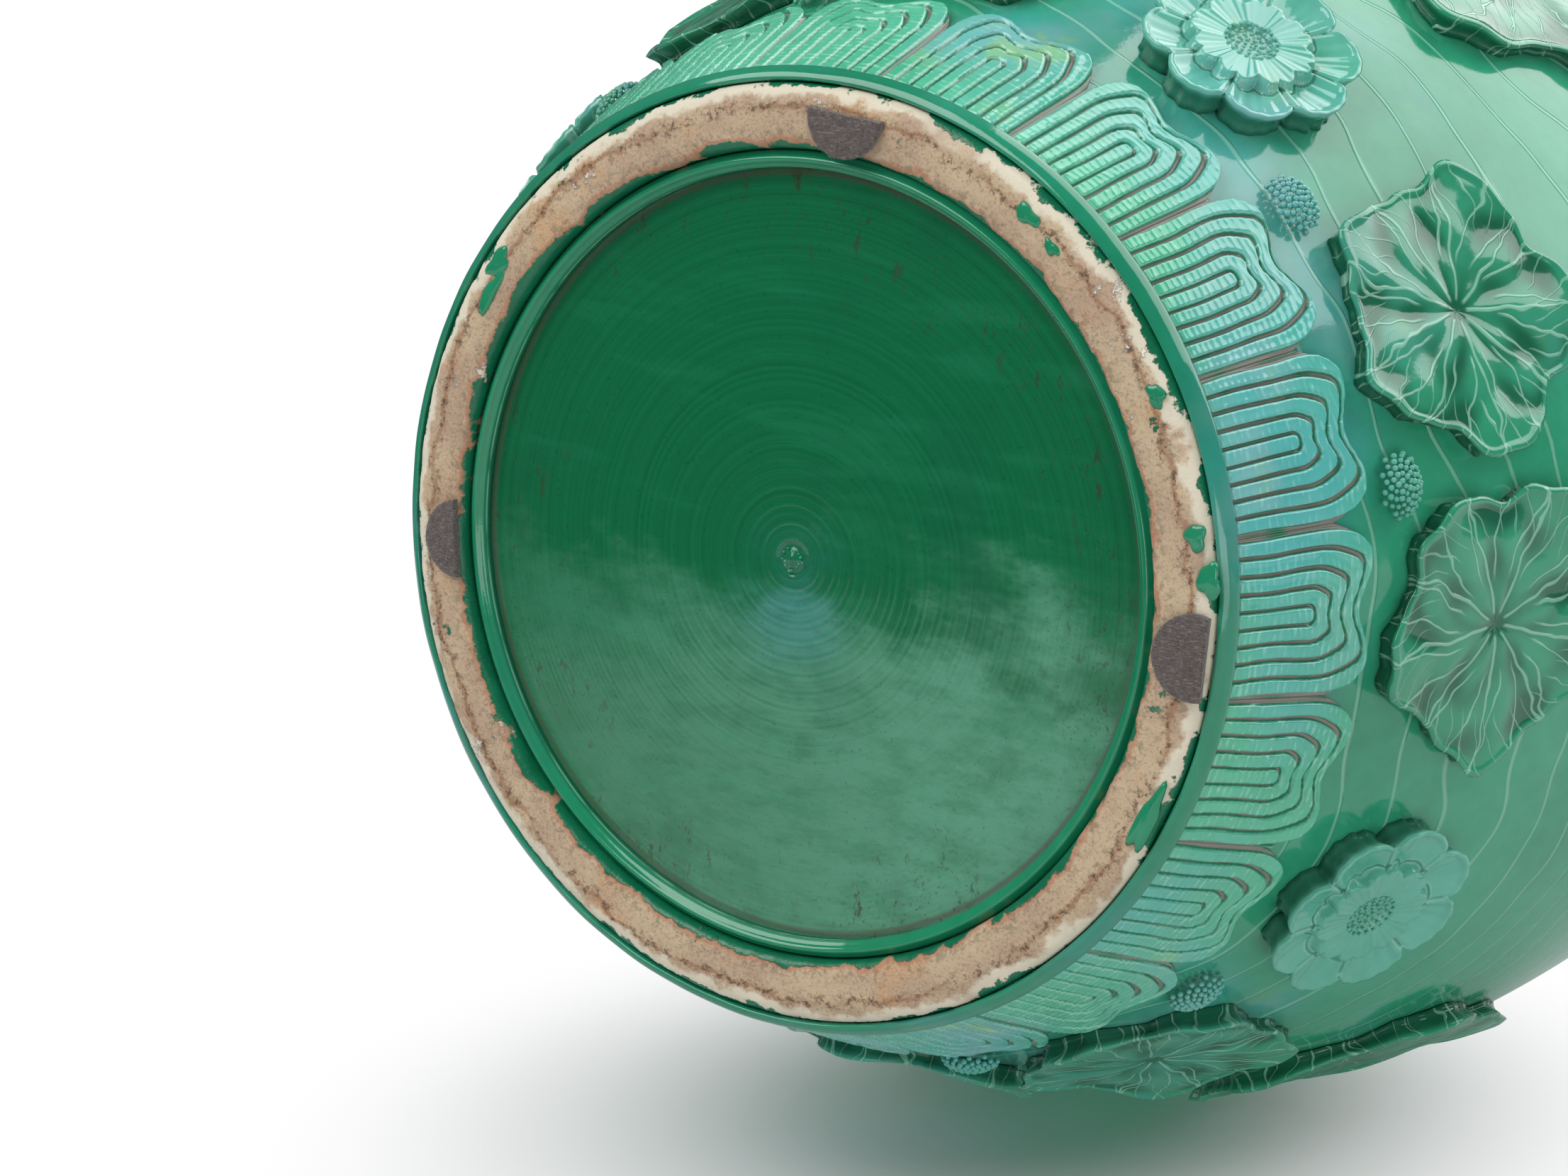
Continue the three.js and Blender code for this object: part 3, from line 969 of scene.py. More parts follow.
        # Turn in degrees, distance from the axis, half length and half width of each drop.
        runs = [
            (-146, 129, 5.5, 3.2), (-150, 126, 9.0, 2.2), (-30, 130, 3.5, 2.6), (-8, 134.5, 5.0, 3.4),
            (-13, 131.5, 3.8, 3.0), (22, 131.5, 10.5, 3.0), (-57, 128, 4.5, 2.4), (-52, 126.5, 3.0, 1.8),
        ]
        rings, turns = self.drop_rings, self.drop_turns
        share = (np.arange(1, rings + 1) / rings)[:, None]
        angle = np.linspace(0, TAU, turns, endpoint=False)[None, :]
        lift = np.sqrt(np.clip(1 - share ** 2.4, 0, None)) - 0.25
        shell = wrap_faces(rings, turns, False, True)
        caps = np.array(cap_faces(rings, turns))
        points, faces = [], []
        for number, (degrees, reach, length, width) in enumerate(runs):
            turn = math.radians(degrees)
            radial = np.array([math.cos(turn), math.sin(turn)])
            along = np.array([-math.sin(turn), math.cos(turn)])
            wave = 1 + 0.16 * np.sin(3 * angle + degrees) + 0.09 * np.sin(5 * angle + 2 * degrees)
            out = (width * np.cos(angle) * share * wave)[..., None] * radial
            side = (length * np.sin(angle) * share * wave)[..., None] * along
            height = np.broadcast_to(self.rest_height - lift, (rings, turns))
            drop = np.concatenate([radial * reach + out - side, height[..., None]], -1)
            ends = [[*radial * reach, self.rest_height - 1.0], [*radial * reach, self.rest_height + 0.8]]
            points.append(np.vstack([drop.reshape(-1, 3), ends]) * MM)
            start = number * (rings * turns + 2)
            faces += (shell + start).tolist() + (caps + start).tolist()
        piece = make_mesh("footrim_glaze_runs", np.vstack(points), faces)
        recalculate(piece)
        self.hand_over(piece, Finish.RECESS, "bead_glaze")


def recalculate(piece: bpy.types.Object) -> None:
    """Turn all faces of a closed mesh outwards."""
    shape = bmesh.new()
    shape.from_mesh(piece.data)
    bmesh.ops.recalc_face_normals(shape, faces=shape.faces)
    shape.to_mesh(piece.data)
    shape.free()


def realise(name: str, mesh: bpy.types.Mesh, tree: bpy.types.NodeTree,
            inputs: dict[str, object]) -> bpy.types.Object:
    """Run a Geometry Nodes tree on a mesh of points and keep the result as a plain mesh.

    Args:
        name: Name of the piece.
        mesh: The points.
        tree: The tree.
        inputs: Value of each input, by its identifier.

    Returns:
        The plain mesh object, linked to the scene.
    """
    carrier = put(name + "_points", mesh)
    modifier = carrier.modifiers.new("lay", "NODES")
    modifier.node_group = tree
    for key, value in inputs.items():
        modifier[key] = value
    bpy.context.view_layer.update()
    ready = carrier.evaluated_get(bpy.context.evaluated_depsgraph_get())
    plain = bpy.data.meshes.new_from_object(ready)
    plain.name = name
    bpy.data.objects.remove(carrier)
    return put(name, plain)


class Strewing:
    """A Geometry Nodes tree that puts one shape on every point of a mesh."""

    def __init__(self, name: str, **sizes: float) -> None:
        """Start the tree with an input for each size and one for the finish.

        Args:
            name: Name of the tree.
            sizes: Value of each named size; a whole number makes a whole-number input.
        """
        self.tree = bpy.data.node_groups.new(name, "GeometryNodeTree")
        face = self.tree.interface
        face.new_socket("Geometry", in_out="INPUT", socket_type="NodeSocketGeometry")
        self.sizes: dict[str, float] = {}
        for label, size in sizes.items():
            kind = "NodeSocketInt" if isinstance(size, int) else "NodeSocketFloat"
            self.sizes[face.new_socket(label, in_out="INPUT", socket_type=kind).identifier] = size
        finish = face.new_socket("Finish", in_out="INPUT", socket_type="NodeSocketMaterial")
        self.finish_id = finish.identifier
        face.new_socket("Geometry", in_out="OUTPUT", socket_type="NodeSocketGeometry")
        self.start = self.node("NodeGroupInput")

    def node(self, kind: str, **values: object) -> bpy.types.Node:
        """Add a node and set its inputs by name, with an underscore for each space."""
        made = self.tree.nodes.new(kind)
        for key, value in values.items():
            made.inputs[key.replace("_", " ")].default_value = value
        return made

    def link(self, source: bpy.types.NodeSocket, target: bpy.types.NodeSocket) -> None:
        """Link two sockets."""
        self.tree.links.new(source, target)

    def close(self, shape: bpy.types.NodeSocket, layer: str, kind: str, aim: str, smooth: bool) -> None:
        """Lay the shape on the points, realise it and dress it.

        Args:
            shape: What is laid.
            layer: Name of the points' attribute that turns or scales it.
            kind: Data type of that attribute.
            aim: Input of Instance on Points that it feeds.
            smooth: Whether the result is shaded smooth.
        """
        carried = self.node("GeometryNodeInputNamedAttribute", Name=layer)
        carried.data_type = kind
        spread = self.node("GeometryNodeInstanceOnPoints")
        real = self.node("GeometryNodeRealizeInstances")
        dress = self.node("GeometryNodeSetMaterial")
        end = self.node("NodeGroupOutput")
        self.link(self.start.outputs["Geometry"], spread.inputs["Points"])
        self.link(shape, spread.inputs["Instance"])
        self.link(carried.outputs["Attribute"], spread.inputs[aim])
        self.link(spread.outputs[0], real.inputs[0])
        last = real.outputs[0]
        if smooth:
            soft = self.node("GeometryNodeSetShadeSmooth")
            self.link(last, soft.inputs[0])
            last = soft.outputs[0]
        self.link(last, dress.inputs["Geometry"])
        self.link(self.start.outputs["Finish"], dress.inputs["Material"])
        self.link(dress.outputs[0], end.inputs[0])

    def realised(self, name: str, spots: Sequence[Sequence[float]], layer: str, kind: str,
                 values: Sequence[float], finish: bpy.types.Material) -> bpy.types.Object:
        """Run the tree on spots and keep the result as a plain mesh.

        Args:
            name: Name of the piece.
            spots: Where the shape is laid.
            layer: Name of the points' attribute.
            kind: Data type of that attribute.
            values: Its values, in one run.
            finish: Material of the piece.

        Returns:
            The plain mesh object.
        """
        mesh = bpy.data.meshes.new(name + "_points")
        mesh.from_pydata(spots, [], [])
        field_name = "vector" if kind == "FLOAT_VECTOR" else "value"
        mesh.attributes.new(layer, kind, "POINT").data.foreach_set(field_name, values)
        return realise(name, mesh, self.tree, {**self.sizes, self.finish_id: finish})


class Scatter(Strewing):
    """Lays a small ball of its own size on every spot."""

    def __init__(self, name: str, segments: int, rings: int) -> None:
        """Build the tree.

        Args:
            name: Name of the tree.
            segments: Segments of each ball.
            rings: Rings of each ball.
        """
        super().__init__(name, Segments=segments, Rings=rings)
        ball = self.node("GeometryNodeMeshUVSphere", Radius=1.0)
        self.link(self.start.outputs["Segments"], ball.inputs["Segments"])
        self.link(self.start.outputs["Rings"], ball.inputs["Rings"])
        self.close(ball.outputs["Mesh"], "size", "FLOAT", "Scale", True)

    def lay(self, name: str, spots: Sequence[tuple[tuple[float, float, float], float]],
            finish: bpy.types.Material) -> bpy.types.Object:
        """Lay balls on spots and turn the result into a plain mesh.

        Args:
            name: Name of the piece.
            spots: Place and radius of each ball.
            finish: Material of the balls.

        Returns:
            The plain mesh object.
        """
        places, sizes = zip(*spots)
        return self.realised(name, places, "size", "FLOAT", sizes, finish)


@dataclass
class Walls(Builder):
    """The thrown sections of the body, the neck and the mouth."""

    turns: int = 320
    wall: float = 0.01
    neck_wall: float = 0.008
    seam_share: float = 0.42
    belly_steps: int = 120
    shoulder_steps: int = 80
    neck_steps: int = 40
    arris: float = 50.0

    def build(self) -> None:
        """Build each section between its flat seams."""
        profile = self.profile
        belly = profile.bezier(profile.belly_curve(), self.belly_steps)
        cut = int(len(belly) * self.seam_share)
        self.section("lower_wall", belly[:cut + 1], belly[:cut + 1] - [self.wall, 0])
        self.section("belly_wall", belly[cut:], belly[cut:] - [self.wall, 0])
        outer = profile.bezier(profile.shoulder_curve(), self.shoulder_steps)
        belly_inside, neck_inside = profile.belly - self.wall, profile.neck - self.neck_wall
        inside = profile.bezier([
            (belly_inside, profile.belly_height),
            (belly_inside, profile.belly_height + profile.shoulder_pull - self.wall),
            (neck_inside + profile.neck_inset, profile.neck_height - profile.neck_pull - self.wall),
            (neck_inside, profile.neck_height),
        ], self.shoulder_steps)
        self.section("shoulder_wall", outer, inside)
        neck = profile.bezier(profile.neck_curve(), self.neck_steps)
        self.section("neck_wall", neck, neck - [self.neck_wall, 0])
        self.rim()

    def section(self, node: str, outer: np.ndarray, inner: np.ndarray) -> None:
        """Build one ring of wall.

        Args:
            node: The solid that it replaces.
            outer: Outer outline, from below.
            inner: Inner outline, from below.
        """
        line = np.vstack([outer, inner[::-1]])
        grain = Grain(sum(map(ord, node)))
        count = len(outer)

        def change(points: np.ndarray, section: np.ndarray) -> np.ndarray:
            """Press the outside in where the thrower's fingers went."""
            sink = np.clip(grain(points, 60 * MM) * 0.12 + 0.2, 0, 0.5) * MM
            sink[count:] = 0
            place = np.arange(len(section))
            fade = np.minimum(place, np.abs(count - 1 - place)) / 10
            sink *= np.clip(fade, 0, 1)[:, None]
            reach = np.linalg.norm(points[..., :2], axis=-1)
            points[..., :2] *= ((reach - sink) / reach)[..., None]
            return points
        piece = self.turned(node + "_thrown", line, self.turns, change)
        piece.data.set_sharp_from_angle(angle=math.radians(self.arris))
        self.hand_over(piece, Finish.WALL, "wall_glaze", node)

    def rim(self) -> None:
        """Build the rolled mouth rim."""
        profile = self.profile
        outer = profile.neck + profile.neck_flare
        roll = profile.rim_roll
        angle = np.linspace(-math.pi / 3, math.pi, 24)
        arc = np.stack([outer - roll / 5 + roll * np.cos(angle),
                        profile.rim_height + roll + roll * np.sin(angle)], -1)
        start = [(outer - self.neck_wall, profile.rim_height), (outer, profile.rim_height)]
        piece = self.turned("mouth_rim_rolled", np.vstack([start, arc]), self.turns)
        self.hand_over(piece, Finish.WALL, "wall_glaze", "mouth_rim")


@dataclass
class LappetBand(Builder):
    """Twenty lappets, each of nested bands round a narrow pill."""

    count: int = 20
    phase: float = -3.0
    length: float = 0.046
    gap: float = 0.00035
    pill_top: float = 0.0246
    pill: float = 0.0024
    pitch: float = 0.0049
    hump: float = 0.0034
    hump_reach: float = 0.022
    stand: float = 0.6
    ground: float = 1.1
    carving: float = 1.7
    notch: float = 4.2
    shoulder_fall: float = 12.0
    chatter_pitch: float = 2.1
    foot_reach: float = 0.142
    across: int = 120
    up: int = 110

    def level(self, u: np.ndarray, v: np.ndarray) -> np.ndarray:
        """Measure how far a point lies out from the pill.

        Args:
            u: Distance across from the lappet's axis.
            v: Height above the foot's edge.

        Returns:
            The level, which is constant along each band.
        """
        side = np.abs(u)
        over = v - self.pill_top
        size = (side ** 4 + np.clip(over, 0, None) ** 4) ** 0.25 + 1e-6
        reach = np.clip(size / self.hump_reach, 0, 1)
        wave = np.cos(TAU * np.clip(side / size, 0, 1) / 1.15)
        over = np.clip(over + self.hump * np.clip(reach - 0.15, 0, 1) * wave, 0, None)
        power = 2.2 + 2.6 * reach
        return (side ** power + over ** power) ** (1 / power)

    def relief(self, level: np.ndarray, chatter: np.ndarray) -> tuple[np.ndarray, np.ndarray]:
        """Shape the bands across their width.

        Args:
            level: Distance out from the pill.
            chatter: Small waves along the bands.

        Returns:
            Height over the lappet's ground and depth of pooling, both per point.
        """
        inside = level < self.pill
        share = np.where(inside, 0.5, ((level - self.pill) / self.pitch) % 1.0)
        ridge = np.clip((np.minimum(share, 1 - share) - 0.07) / 0.11, 0, 1)
        ridge = np.where(inside, np.clip((self.pill - level) / (0.7 * MM), 0, 1), ridge)
        ridge = ridge * ridge * (3 - 2 * ridge)
        bow = np.where(inside, 0, 0.25 * np.abs(share - 0.5))
        height = (self.carving * ridge + (bow + 0.07 * chatter) * ridge) * MM
        return height, 1 - ridge + 0.18 * np.clip(chatter, 0, 1) * ridge

    def build(self) -> None:
        """Build every lappet over its own solid."""
        for i in range(self.count):
            self.lappet(i)

    def lappet(self, number: int) -> None:
        """Build one lappet.

        Args:
            number: Its place round the foot, from 0.
        """
        profile = self.profile
        turn = math.radians(self.phase + 360 / self.count * number)
        half = math.pi / self.count
        start = profile.seat + self.stand * MM
        share = np.linspace(-1, 1, self.across)
        rows = np.linspace(0, 1, self.up)
        s, r = np.meshgrid(share, rows)
        hump = 0.5 - 0.5 * np.cos(TAU * np.clip(np.abs(s) / 1.1, 0, 1))
        top = profile.edge + self.length - self.notch * MM * (1 - hump) * (np.abs(s) < 0.55)
        top -= self.shoulder_fall * MM * np.clip((np.abs(s) - 0.6) / 0.4, 0, 1) ** 2
        z = start + (top - start) * r
        rng = np.random.default_rng(40 + number)
        grain = Grain(60 + number)
        u = s * half * profile.radius(z)
        v = z - profile.edge
        spots = np.stack([u, v, np.full_like(u, number * 0.1)], -1)
        sway = grain(spots, 30 * MM) * 0.22 * MM
        stretch = rng.uniform(0.97, 1.03)
        narrowed = (u + sway) * self.foot_reach / profile.radius(z) * 1.02
        level = self.level(narrowed, (v + sway * 0.5) * stretch)
        chatter = np.sin(v / MM * TAU / self.chatter_pitch + grain(spots, 14 * MM)) * 0.8
        chatter = chatter + 0.4 * grain(spots, 4 * MM)
        height, pool = self.relief(level, chatter)
        upper = np.minimum(1 - np.abs(s), (1 - r) * 2.2) / 0.04
        border = np.clip(np.minimum(upper, r / 0.035), 0, 1)
        height, pool = height * border, 1 - (1 - pool) * border
        lift = self.gap + self.ground * MM + height
        outer = profile.place(turn + s * half * 0.998, z, lift)
        inner = profile.place(turn + s * half * 0.998, z, np.full_like(z, self.gap * 0.3))
        self.panel(f"lappet_carved_{number + 1:02d}", outer, inner, pool, f"lappet_{number + 1:02d}")

    def panel(self, name: str, outer: np.ndarray, inner: np.ndarray, pool: np.ndarray, node: str) -> None:
        """Close a panel between its outer and inner sheet.

        Args:
            name: Name of the piece.
            outer: Grid of outer points.
            inner: Grid of inner points.
            pool: Depth of pooling, per outer point.
            node: The solid that it replaces.
        """
        rows, columns = outer.shape[:2]
        count = rows * columns
        loop = np.concatenate([
            np.arange(columns), np.arange(1, rows) * columns + columns - 1,
            (rows - 1) * columns + np.arange(columns - 2, -1, -1), np.arange(rows - 2, 0, -1) * columns,
        ])
        under = count + np.arange(len(loop))
        side = np.stack([np.roll(loop, -1), loop, under, np.roll(under, -1)], -1).tolist()
        centre = count + len(loop)
        back = [[centre, b, a] for a, b in zip(under, np.roll(under, -1))]
        flat = inner.reshape(-1, 3)
        middle = inner[rows // 2, columns // 2]
        points = np.vstack([outer.reshape(-1, 3), flat[loop], middle])
        depth = np.concatenate([pool.ravel(), np.full(len(loop) + 1, 0.9)])
        faces = wrap_faces(rows, columns, False, False).tolist() + side + back
        piece = make_mesh(name, points, faces, pool=depth)
        self.hand_over(piece, Finish.LAPPET, "lappet_glaze", node)


@dataclass
class Pond(Builder):
    """Flowers, leaves and seed pods above the lappets; lengths in millimetres, turns in degrees."""

    flower_height: float = 82.0
    leaf_height: float = 91.0
    pod_height: float = 57.0
    upper_height: float = 202.0
    flower_radius: float = 31.0
    leaf_radius: float = 43.0
    upper_radius: float = 56.0
    pod_radius: float = 9.0
    first_turn: float = -60.0
    leaf_turns: tuple[float, float] = (31.0, 60.0)
    pod_turns: tuple[float, float] = (16.0, 45.5)
    lower_groups: int = 4
    upper_sprigs: int = 6
    petals: int = 8
    petal_lift: float = 7.2
    petal_cup: float = 2.8
    crown_lift: float = 7.6
    crown_share: float = 0.66
    heart_lift: float = 6.2
    heart_share: float = 0.25
    stamens: tuple[tuple[float, int], ...] = ((0.05, 5), (0.11, 10), (0.17, 15), (0.23, 20))
    lip_share: float = 0.965
    lobes: int = 5
    leaf_lift: float = 3.0
    leaf_curl: float = 3.0
    leaf_wave: float = 1.5
    pod_swell: float = 4.6
    seeds: int = 70
    seed_turn: float = 2.39996
    pod_squash: float = 0.75
    # pooling on the sprigs' undercut sides, partly glaze pooling and partly painted shade; it also caps a
    # leaf's pooling
    side_pool_and_shade: float = 0.74
    turns: int = 200
    rings: int = 52

    def build(self) -> None:
        """Build the lower pond, then the sprigs round the belly."""
        self.beads = Scatter("beads", 10, 7)
        for i in range(self.lower_groups):
            start = self.first_turn + 360 / self.lower_groups * i
            self.flower(f"lotus_flower_{i + 1}", start, self.flower_height, self.flower_radius, 20 + i)
            for k, turn in enumerate(self.leaf_turns, 2 * i):
                self.leaf(f"lotus_leaf_{k + 1}", start + turn, self.leaf_height, self.leaf_radius, 30 + k)
            for k, turn in enumerate(self.pod_turns, 2 * i):
                self.pod(f"seed_pod_{k + 1}", start + turn, self.pod_height, 50 + k)
        for i in range(self.upper_sprigs):
            place = (360 / self.upper_sprigs * i, self.upper_height, self.upper_radius, 70 + i)
            if i % 3 == 0:
                self.flower(f"belly_flower_{i // 3 + 1}", *place)
            else:
                self.leaf(f"belly_leaf_{i - i // 3}", *place)

    def disc(self, name: str, node: str, degrees: float, height: float,
             reach: Callable[[np.ndarray], np.ndarray],
             lift: Callable[[np.ndarray, np.ndarray], tuple[np.ndarray, np.ndarray]],
             finish: Finish, slot: str) -> None:
        """Build a sprig as rings laid on the wall, with a pleated side cut under its edge.

        Args:
            name: Name of the piece.
            node: The solid that it replaces.
            degrees: Its place round the vase.
            height: Height of its middle above the foot's edge, in millimetres.
            reach: Radius in millimetres by angle.
            lift: Lift in millimetres and pooling, by share of the radius and angle.
            finish: Its finish.
            slot: Material slot of the record.
        """
        profile = self.profile
        angle = np.linspace(0, TAU, self.turns, endpoint=False)[None, :]
        share = (np.arange(1, self.rings + 1) / self.rings)[:, None]
        top, pool = lift(share + 0 * angle, angle + 0 * share)
        pleat = np.sin(angle * 23 + 3 * np.sin(angle * 5) + degrees) + 0.5 * np.sin(angle * 41 + degrees)
        fall = np.array([0.82, 0.6, 0.38, 0.18, 0.0])[:, None]
        sway = np.array([0, 0.6, 1, 1, 1])[:, None]
        tuck = np.array([0.4, 1.3, 2.0, 1.9, 1.2])[:, None] + 0.35 * pleat * sway
        size = np.vstack([reach(angle) * share, reach(angle) - tuck]) * MM
        rise = np.vstack([top, top[-1:] * fall + 0.1]) * MM
        # painted shade: the pleated side cut under each sprig's edge gets deep glaze colour, partly pooling
        # and partly painted shade
        dark = np.array([0.45, 0.7, self.side_pool_and_shade, self.side_pool_and_shade, self.side_pool_and_shade])[:, None]
        depth = np.vstack([pool, np.broadcast_to(dark, (len(dark), self.turns))])
        middle = profile.edge + height * MM
        round_wall = float(profile.radius(np.array(middle)))
        across, up = size * np.cos(angle), size * np.sin(angle)
        sheet = profile.place(math.radians(degrees) + across / round_wall, middle + up, rise)
        top_lift, top_pool = lift(np.zeros((1, 1)), np.zeros((1, 1)))
        ends = profile.place(np.full(2, math.radians(degrees)), np.full(2, middle),
                             np.array([top_lift[0, 0], 0.1]) * MM)
        rows = sheet.shape[0]
        faces = wrap_faces(rows, self.turns, False, True).tolist() + cap_faces(rows, self.turns)
        piece = make_mesh(
            name, np.vstack([sheet.reshape(-1, 3), ends]), [face[::-1] for face in faces],
            pool=np.append(depth.ravel(), [top_pool[0, 0], self.side_pool_and_shade]),
            across=np.append(across.ravel(), [0, 0]), up=np.append(up.ravel(), [0, 0]))
        recalculate(piece)
        self.hand_over(piece, finish, slot, node)

    def flower(self, node: str, degrees: float, height: float, radius: float, seed: int) -> None:
        """Build a lotus flower with cupped, veined petals and a ring of stamens.

        Args:
            node: The solid that it replaces.
            degrees: Its place round the vase.
            height: Height of its middle, in millimetres.
            radius: Its radius, in millimetres.
            seed: Seed of its small differences.
        """
        rng = np.random.default_rng(seed)
        spin = rng.uniform(-0.1, 0.1)
        petals = self.petals

        def reach(angle: np.ndarray) -> np.ndarray:
            """Scallop the edge by petal."""
            lobe = np.abs(np.cos(petals * (angle + spin) / 2))
            return radius * (0.8 + 0.2 * lobe ** 0.5)

        def lift(share: np.ndarray, angle: np.ndarray) -> tuple[np.ndarray, np.ndarray]:
            """Cup each petal between raised edges, outer petals below inner ones."""
            phase = (petals * (angle + spin) / TAU + 0.5) % 1.0
            across = np.abs(phase - 0.5) * 2
            cup = self.petal_cup * np.clip(np.sin(np.pi * share), 0, 1) * (1 - across ** 2)
            outer = self.petal_lift + 1.9 * share ** 2 - cup
            inner_across = np.abs((phase + 0.5) % 1.0 - 0.5) * 2
            edge = self.crown_share - 0.15 * inner_across ** 2
            over = np.clip((edge - share) / 0.04, 0, 1)
            crown = self.crown_lift + 2.4 * np.clip(share / 0.62, 0, 1) ** 1.5
            crown = crown - 1.6 * (1 - inner_across ** 2) * share
            heart = np.clip((self.heart_share - share) / 0.05, 0, 1)
            total = (outer * (1 - over) + crown * over) * (1 - heart) + self.heart_lift * heart
            veins = 0.16 * np.cos(across * 5 * np.pi) * np.clip(share * 2 - 0.3, 0, 1)
            lip = 0.7 * np.exp(-((share - self.lip_share) / 0.025) ** 2)
            groove = np.exp(-((1 - across) / 0.07) ** 2) * np.clip(share * 3 - 0.9, 0, 1) * (1 - over)
            seam = np.exp(-((share - edge - 0.03) / 0.025) ** 2) * (1 - heart)
            pool = np.clip(0.75 * groove + 0.7 * seam + 0.35 * heart - 0.5 * lip, 0, 0.76)
            return np.clip(total + veins + lip - 1.5 * groove, 2.0, 10.2), pool
        self.disc(node + "_petals", node, degrees, height, reach, lift, Finish.FLOWER, "flower_glaze")
        middle = self.profile.edge + height * MM
        round_wall = float(self.profile.radius(np.array(middle)))
        spots = []
        for ring, number in self.stamens:
            for i in range(number):
                angle = TAU * i / number + ring * 9
                size = radius * ring * MM
                spot = self.profile.place(
                    np.array([math.radians(degrees) + size * math.cos(angle) / round_wall]),
                    np.array([middle + size * math.sin(angle)]),
                    np.array([(6.6 + 6 * ring) * MM]))[0]
                spots.append((tuple(spot), rng.uniform(0.45, 0.7) * MM * radius / self.flower_radius))
        piece = self.beads.lay(node + "_stamens", spots, self.kiln(Finish.FLOWER))
        self.hand_over(piece, Finish.FLOWER, "flower_glaze")

    def leaf(self, node: str, degrees: float, height: float, radius: float, seed: int) -> None:
        """Build a lotus leaf with a waved, turned-up edge.

        Args:
            node: The solid that it replaces.
            degrees: Its place round the vase.
            height: Height of its middle, in millimetres.
            radius: Its radius, in millimetres.
            seed: Seed of its small differences.
        """
        rng = np.random.default_rng(seed)
        lobes = self.lobes
        spin = math.radians(degrees) / lobes
        crease = rng.uniform(0, TAU, 3)

        def reach(angle: np.ndarray) -> np.ndarray:
            """Wave the leaf's edge."""
            small = 0.022 * np.cos(11 * angle + crease[0]) + 0.014 * np.cos(17 * angle + crease[1])
            return radius * (0.905 + 0.075 * np.cos(lobes * (angle + spin)) + small)

        def lift(share: np.ndarray, angle: np.ndarray) -> tuple[np.ndarray, np.ndarray]:
            """Raise the edge in folds and sink the middle."""
            fold = np.cos(lobes * (angle + spin))
            base = self.leaf_lift + self.leaf_curl * share ** 1.6 + self.leaf_wave * share ** 2 * fold
            swell = 0.5 * np.sin(9 * angle + crease[2] + 2.5 * share) * share * np.clip(4 - 4 * share, 0, 1)
            dish = -0.9 * np.exp(-(share / 0.12) ** 2)
            ripple = 0.28 * np.sin(share * 13 + 2 * fold + 2 * np.sin(3 * angle + crease[0])) * share
            lip = 0.75 * np.exp(-((share - self.lip_share) / 0.022) ** 2)
            high = 0.5 * swell + 0.9 * ripple + 0.9 * lip + 0.2 * fold * share + 0.35 * dish
            pool = np.clip(0.45 - high, 0, self.side_pool_and_shade)
            return np.clip(base + swell + dish + ripple + lip, 1.4, 8.3), pool
        self.disc(node + "_folded", node, degrees, height, reach, lift, Finish.LEAF, "leaf_glaze")

    def pod(self, node: str, degrees: float, height: float, seed: int) -> None:
        """Build a stippled seed pod.

        Args:
            node: The solid that it replaces.
            degrees: Its place round the vase.
            height: Height of its middle, in millimetres.
            seed: Seed of its small differences.
        """
        rng = np.random.default_rng(seed)
        radius = self.pod_radius
        profile = self.profile
        middle = float(profile.radius(np.array(profile.edge + height * MM)))
        spots = []
        for i in range(self.seeds):
            share = math.sqrt((i + 0.5) / self.seeds)
            angle = i * self.seed_turn
            across = radius * share * math.cos(angle) * MM
            rise = radius * self.pod_squash * share * math.sin(angle) * MM
            lift = (1.0 + self.pod_swell * math.sqrt(max(0, 1 - share ** 2))) * MM
            spot = profile.place(
                np.array([math.radians(degrees) + across / middle]),
                np.array([profile.edge + height * MM + rise]), np.array([lift]))[0]
            spots.append((tuple(spot), rng.uniform(0.75, 1.0) * MM))
        piece = self.beads.lay(node + "_stippled", spots, self.kiln(Finish.FLOWER))
        self.hand_over(piece, Finish.FLOWER, "flower_glaze", node)


@dataclass(frozen=True)
class Cut:
    """How one felt disc is cut and stuck.

    The turn and the straight cut's distance from the axis place it, the depth is what is left of
    the disc, and the side says which way the round part faces.
    """

    turn: float
    chord: float
    depth: float
    side: int


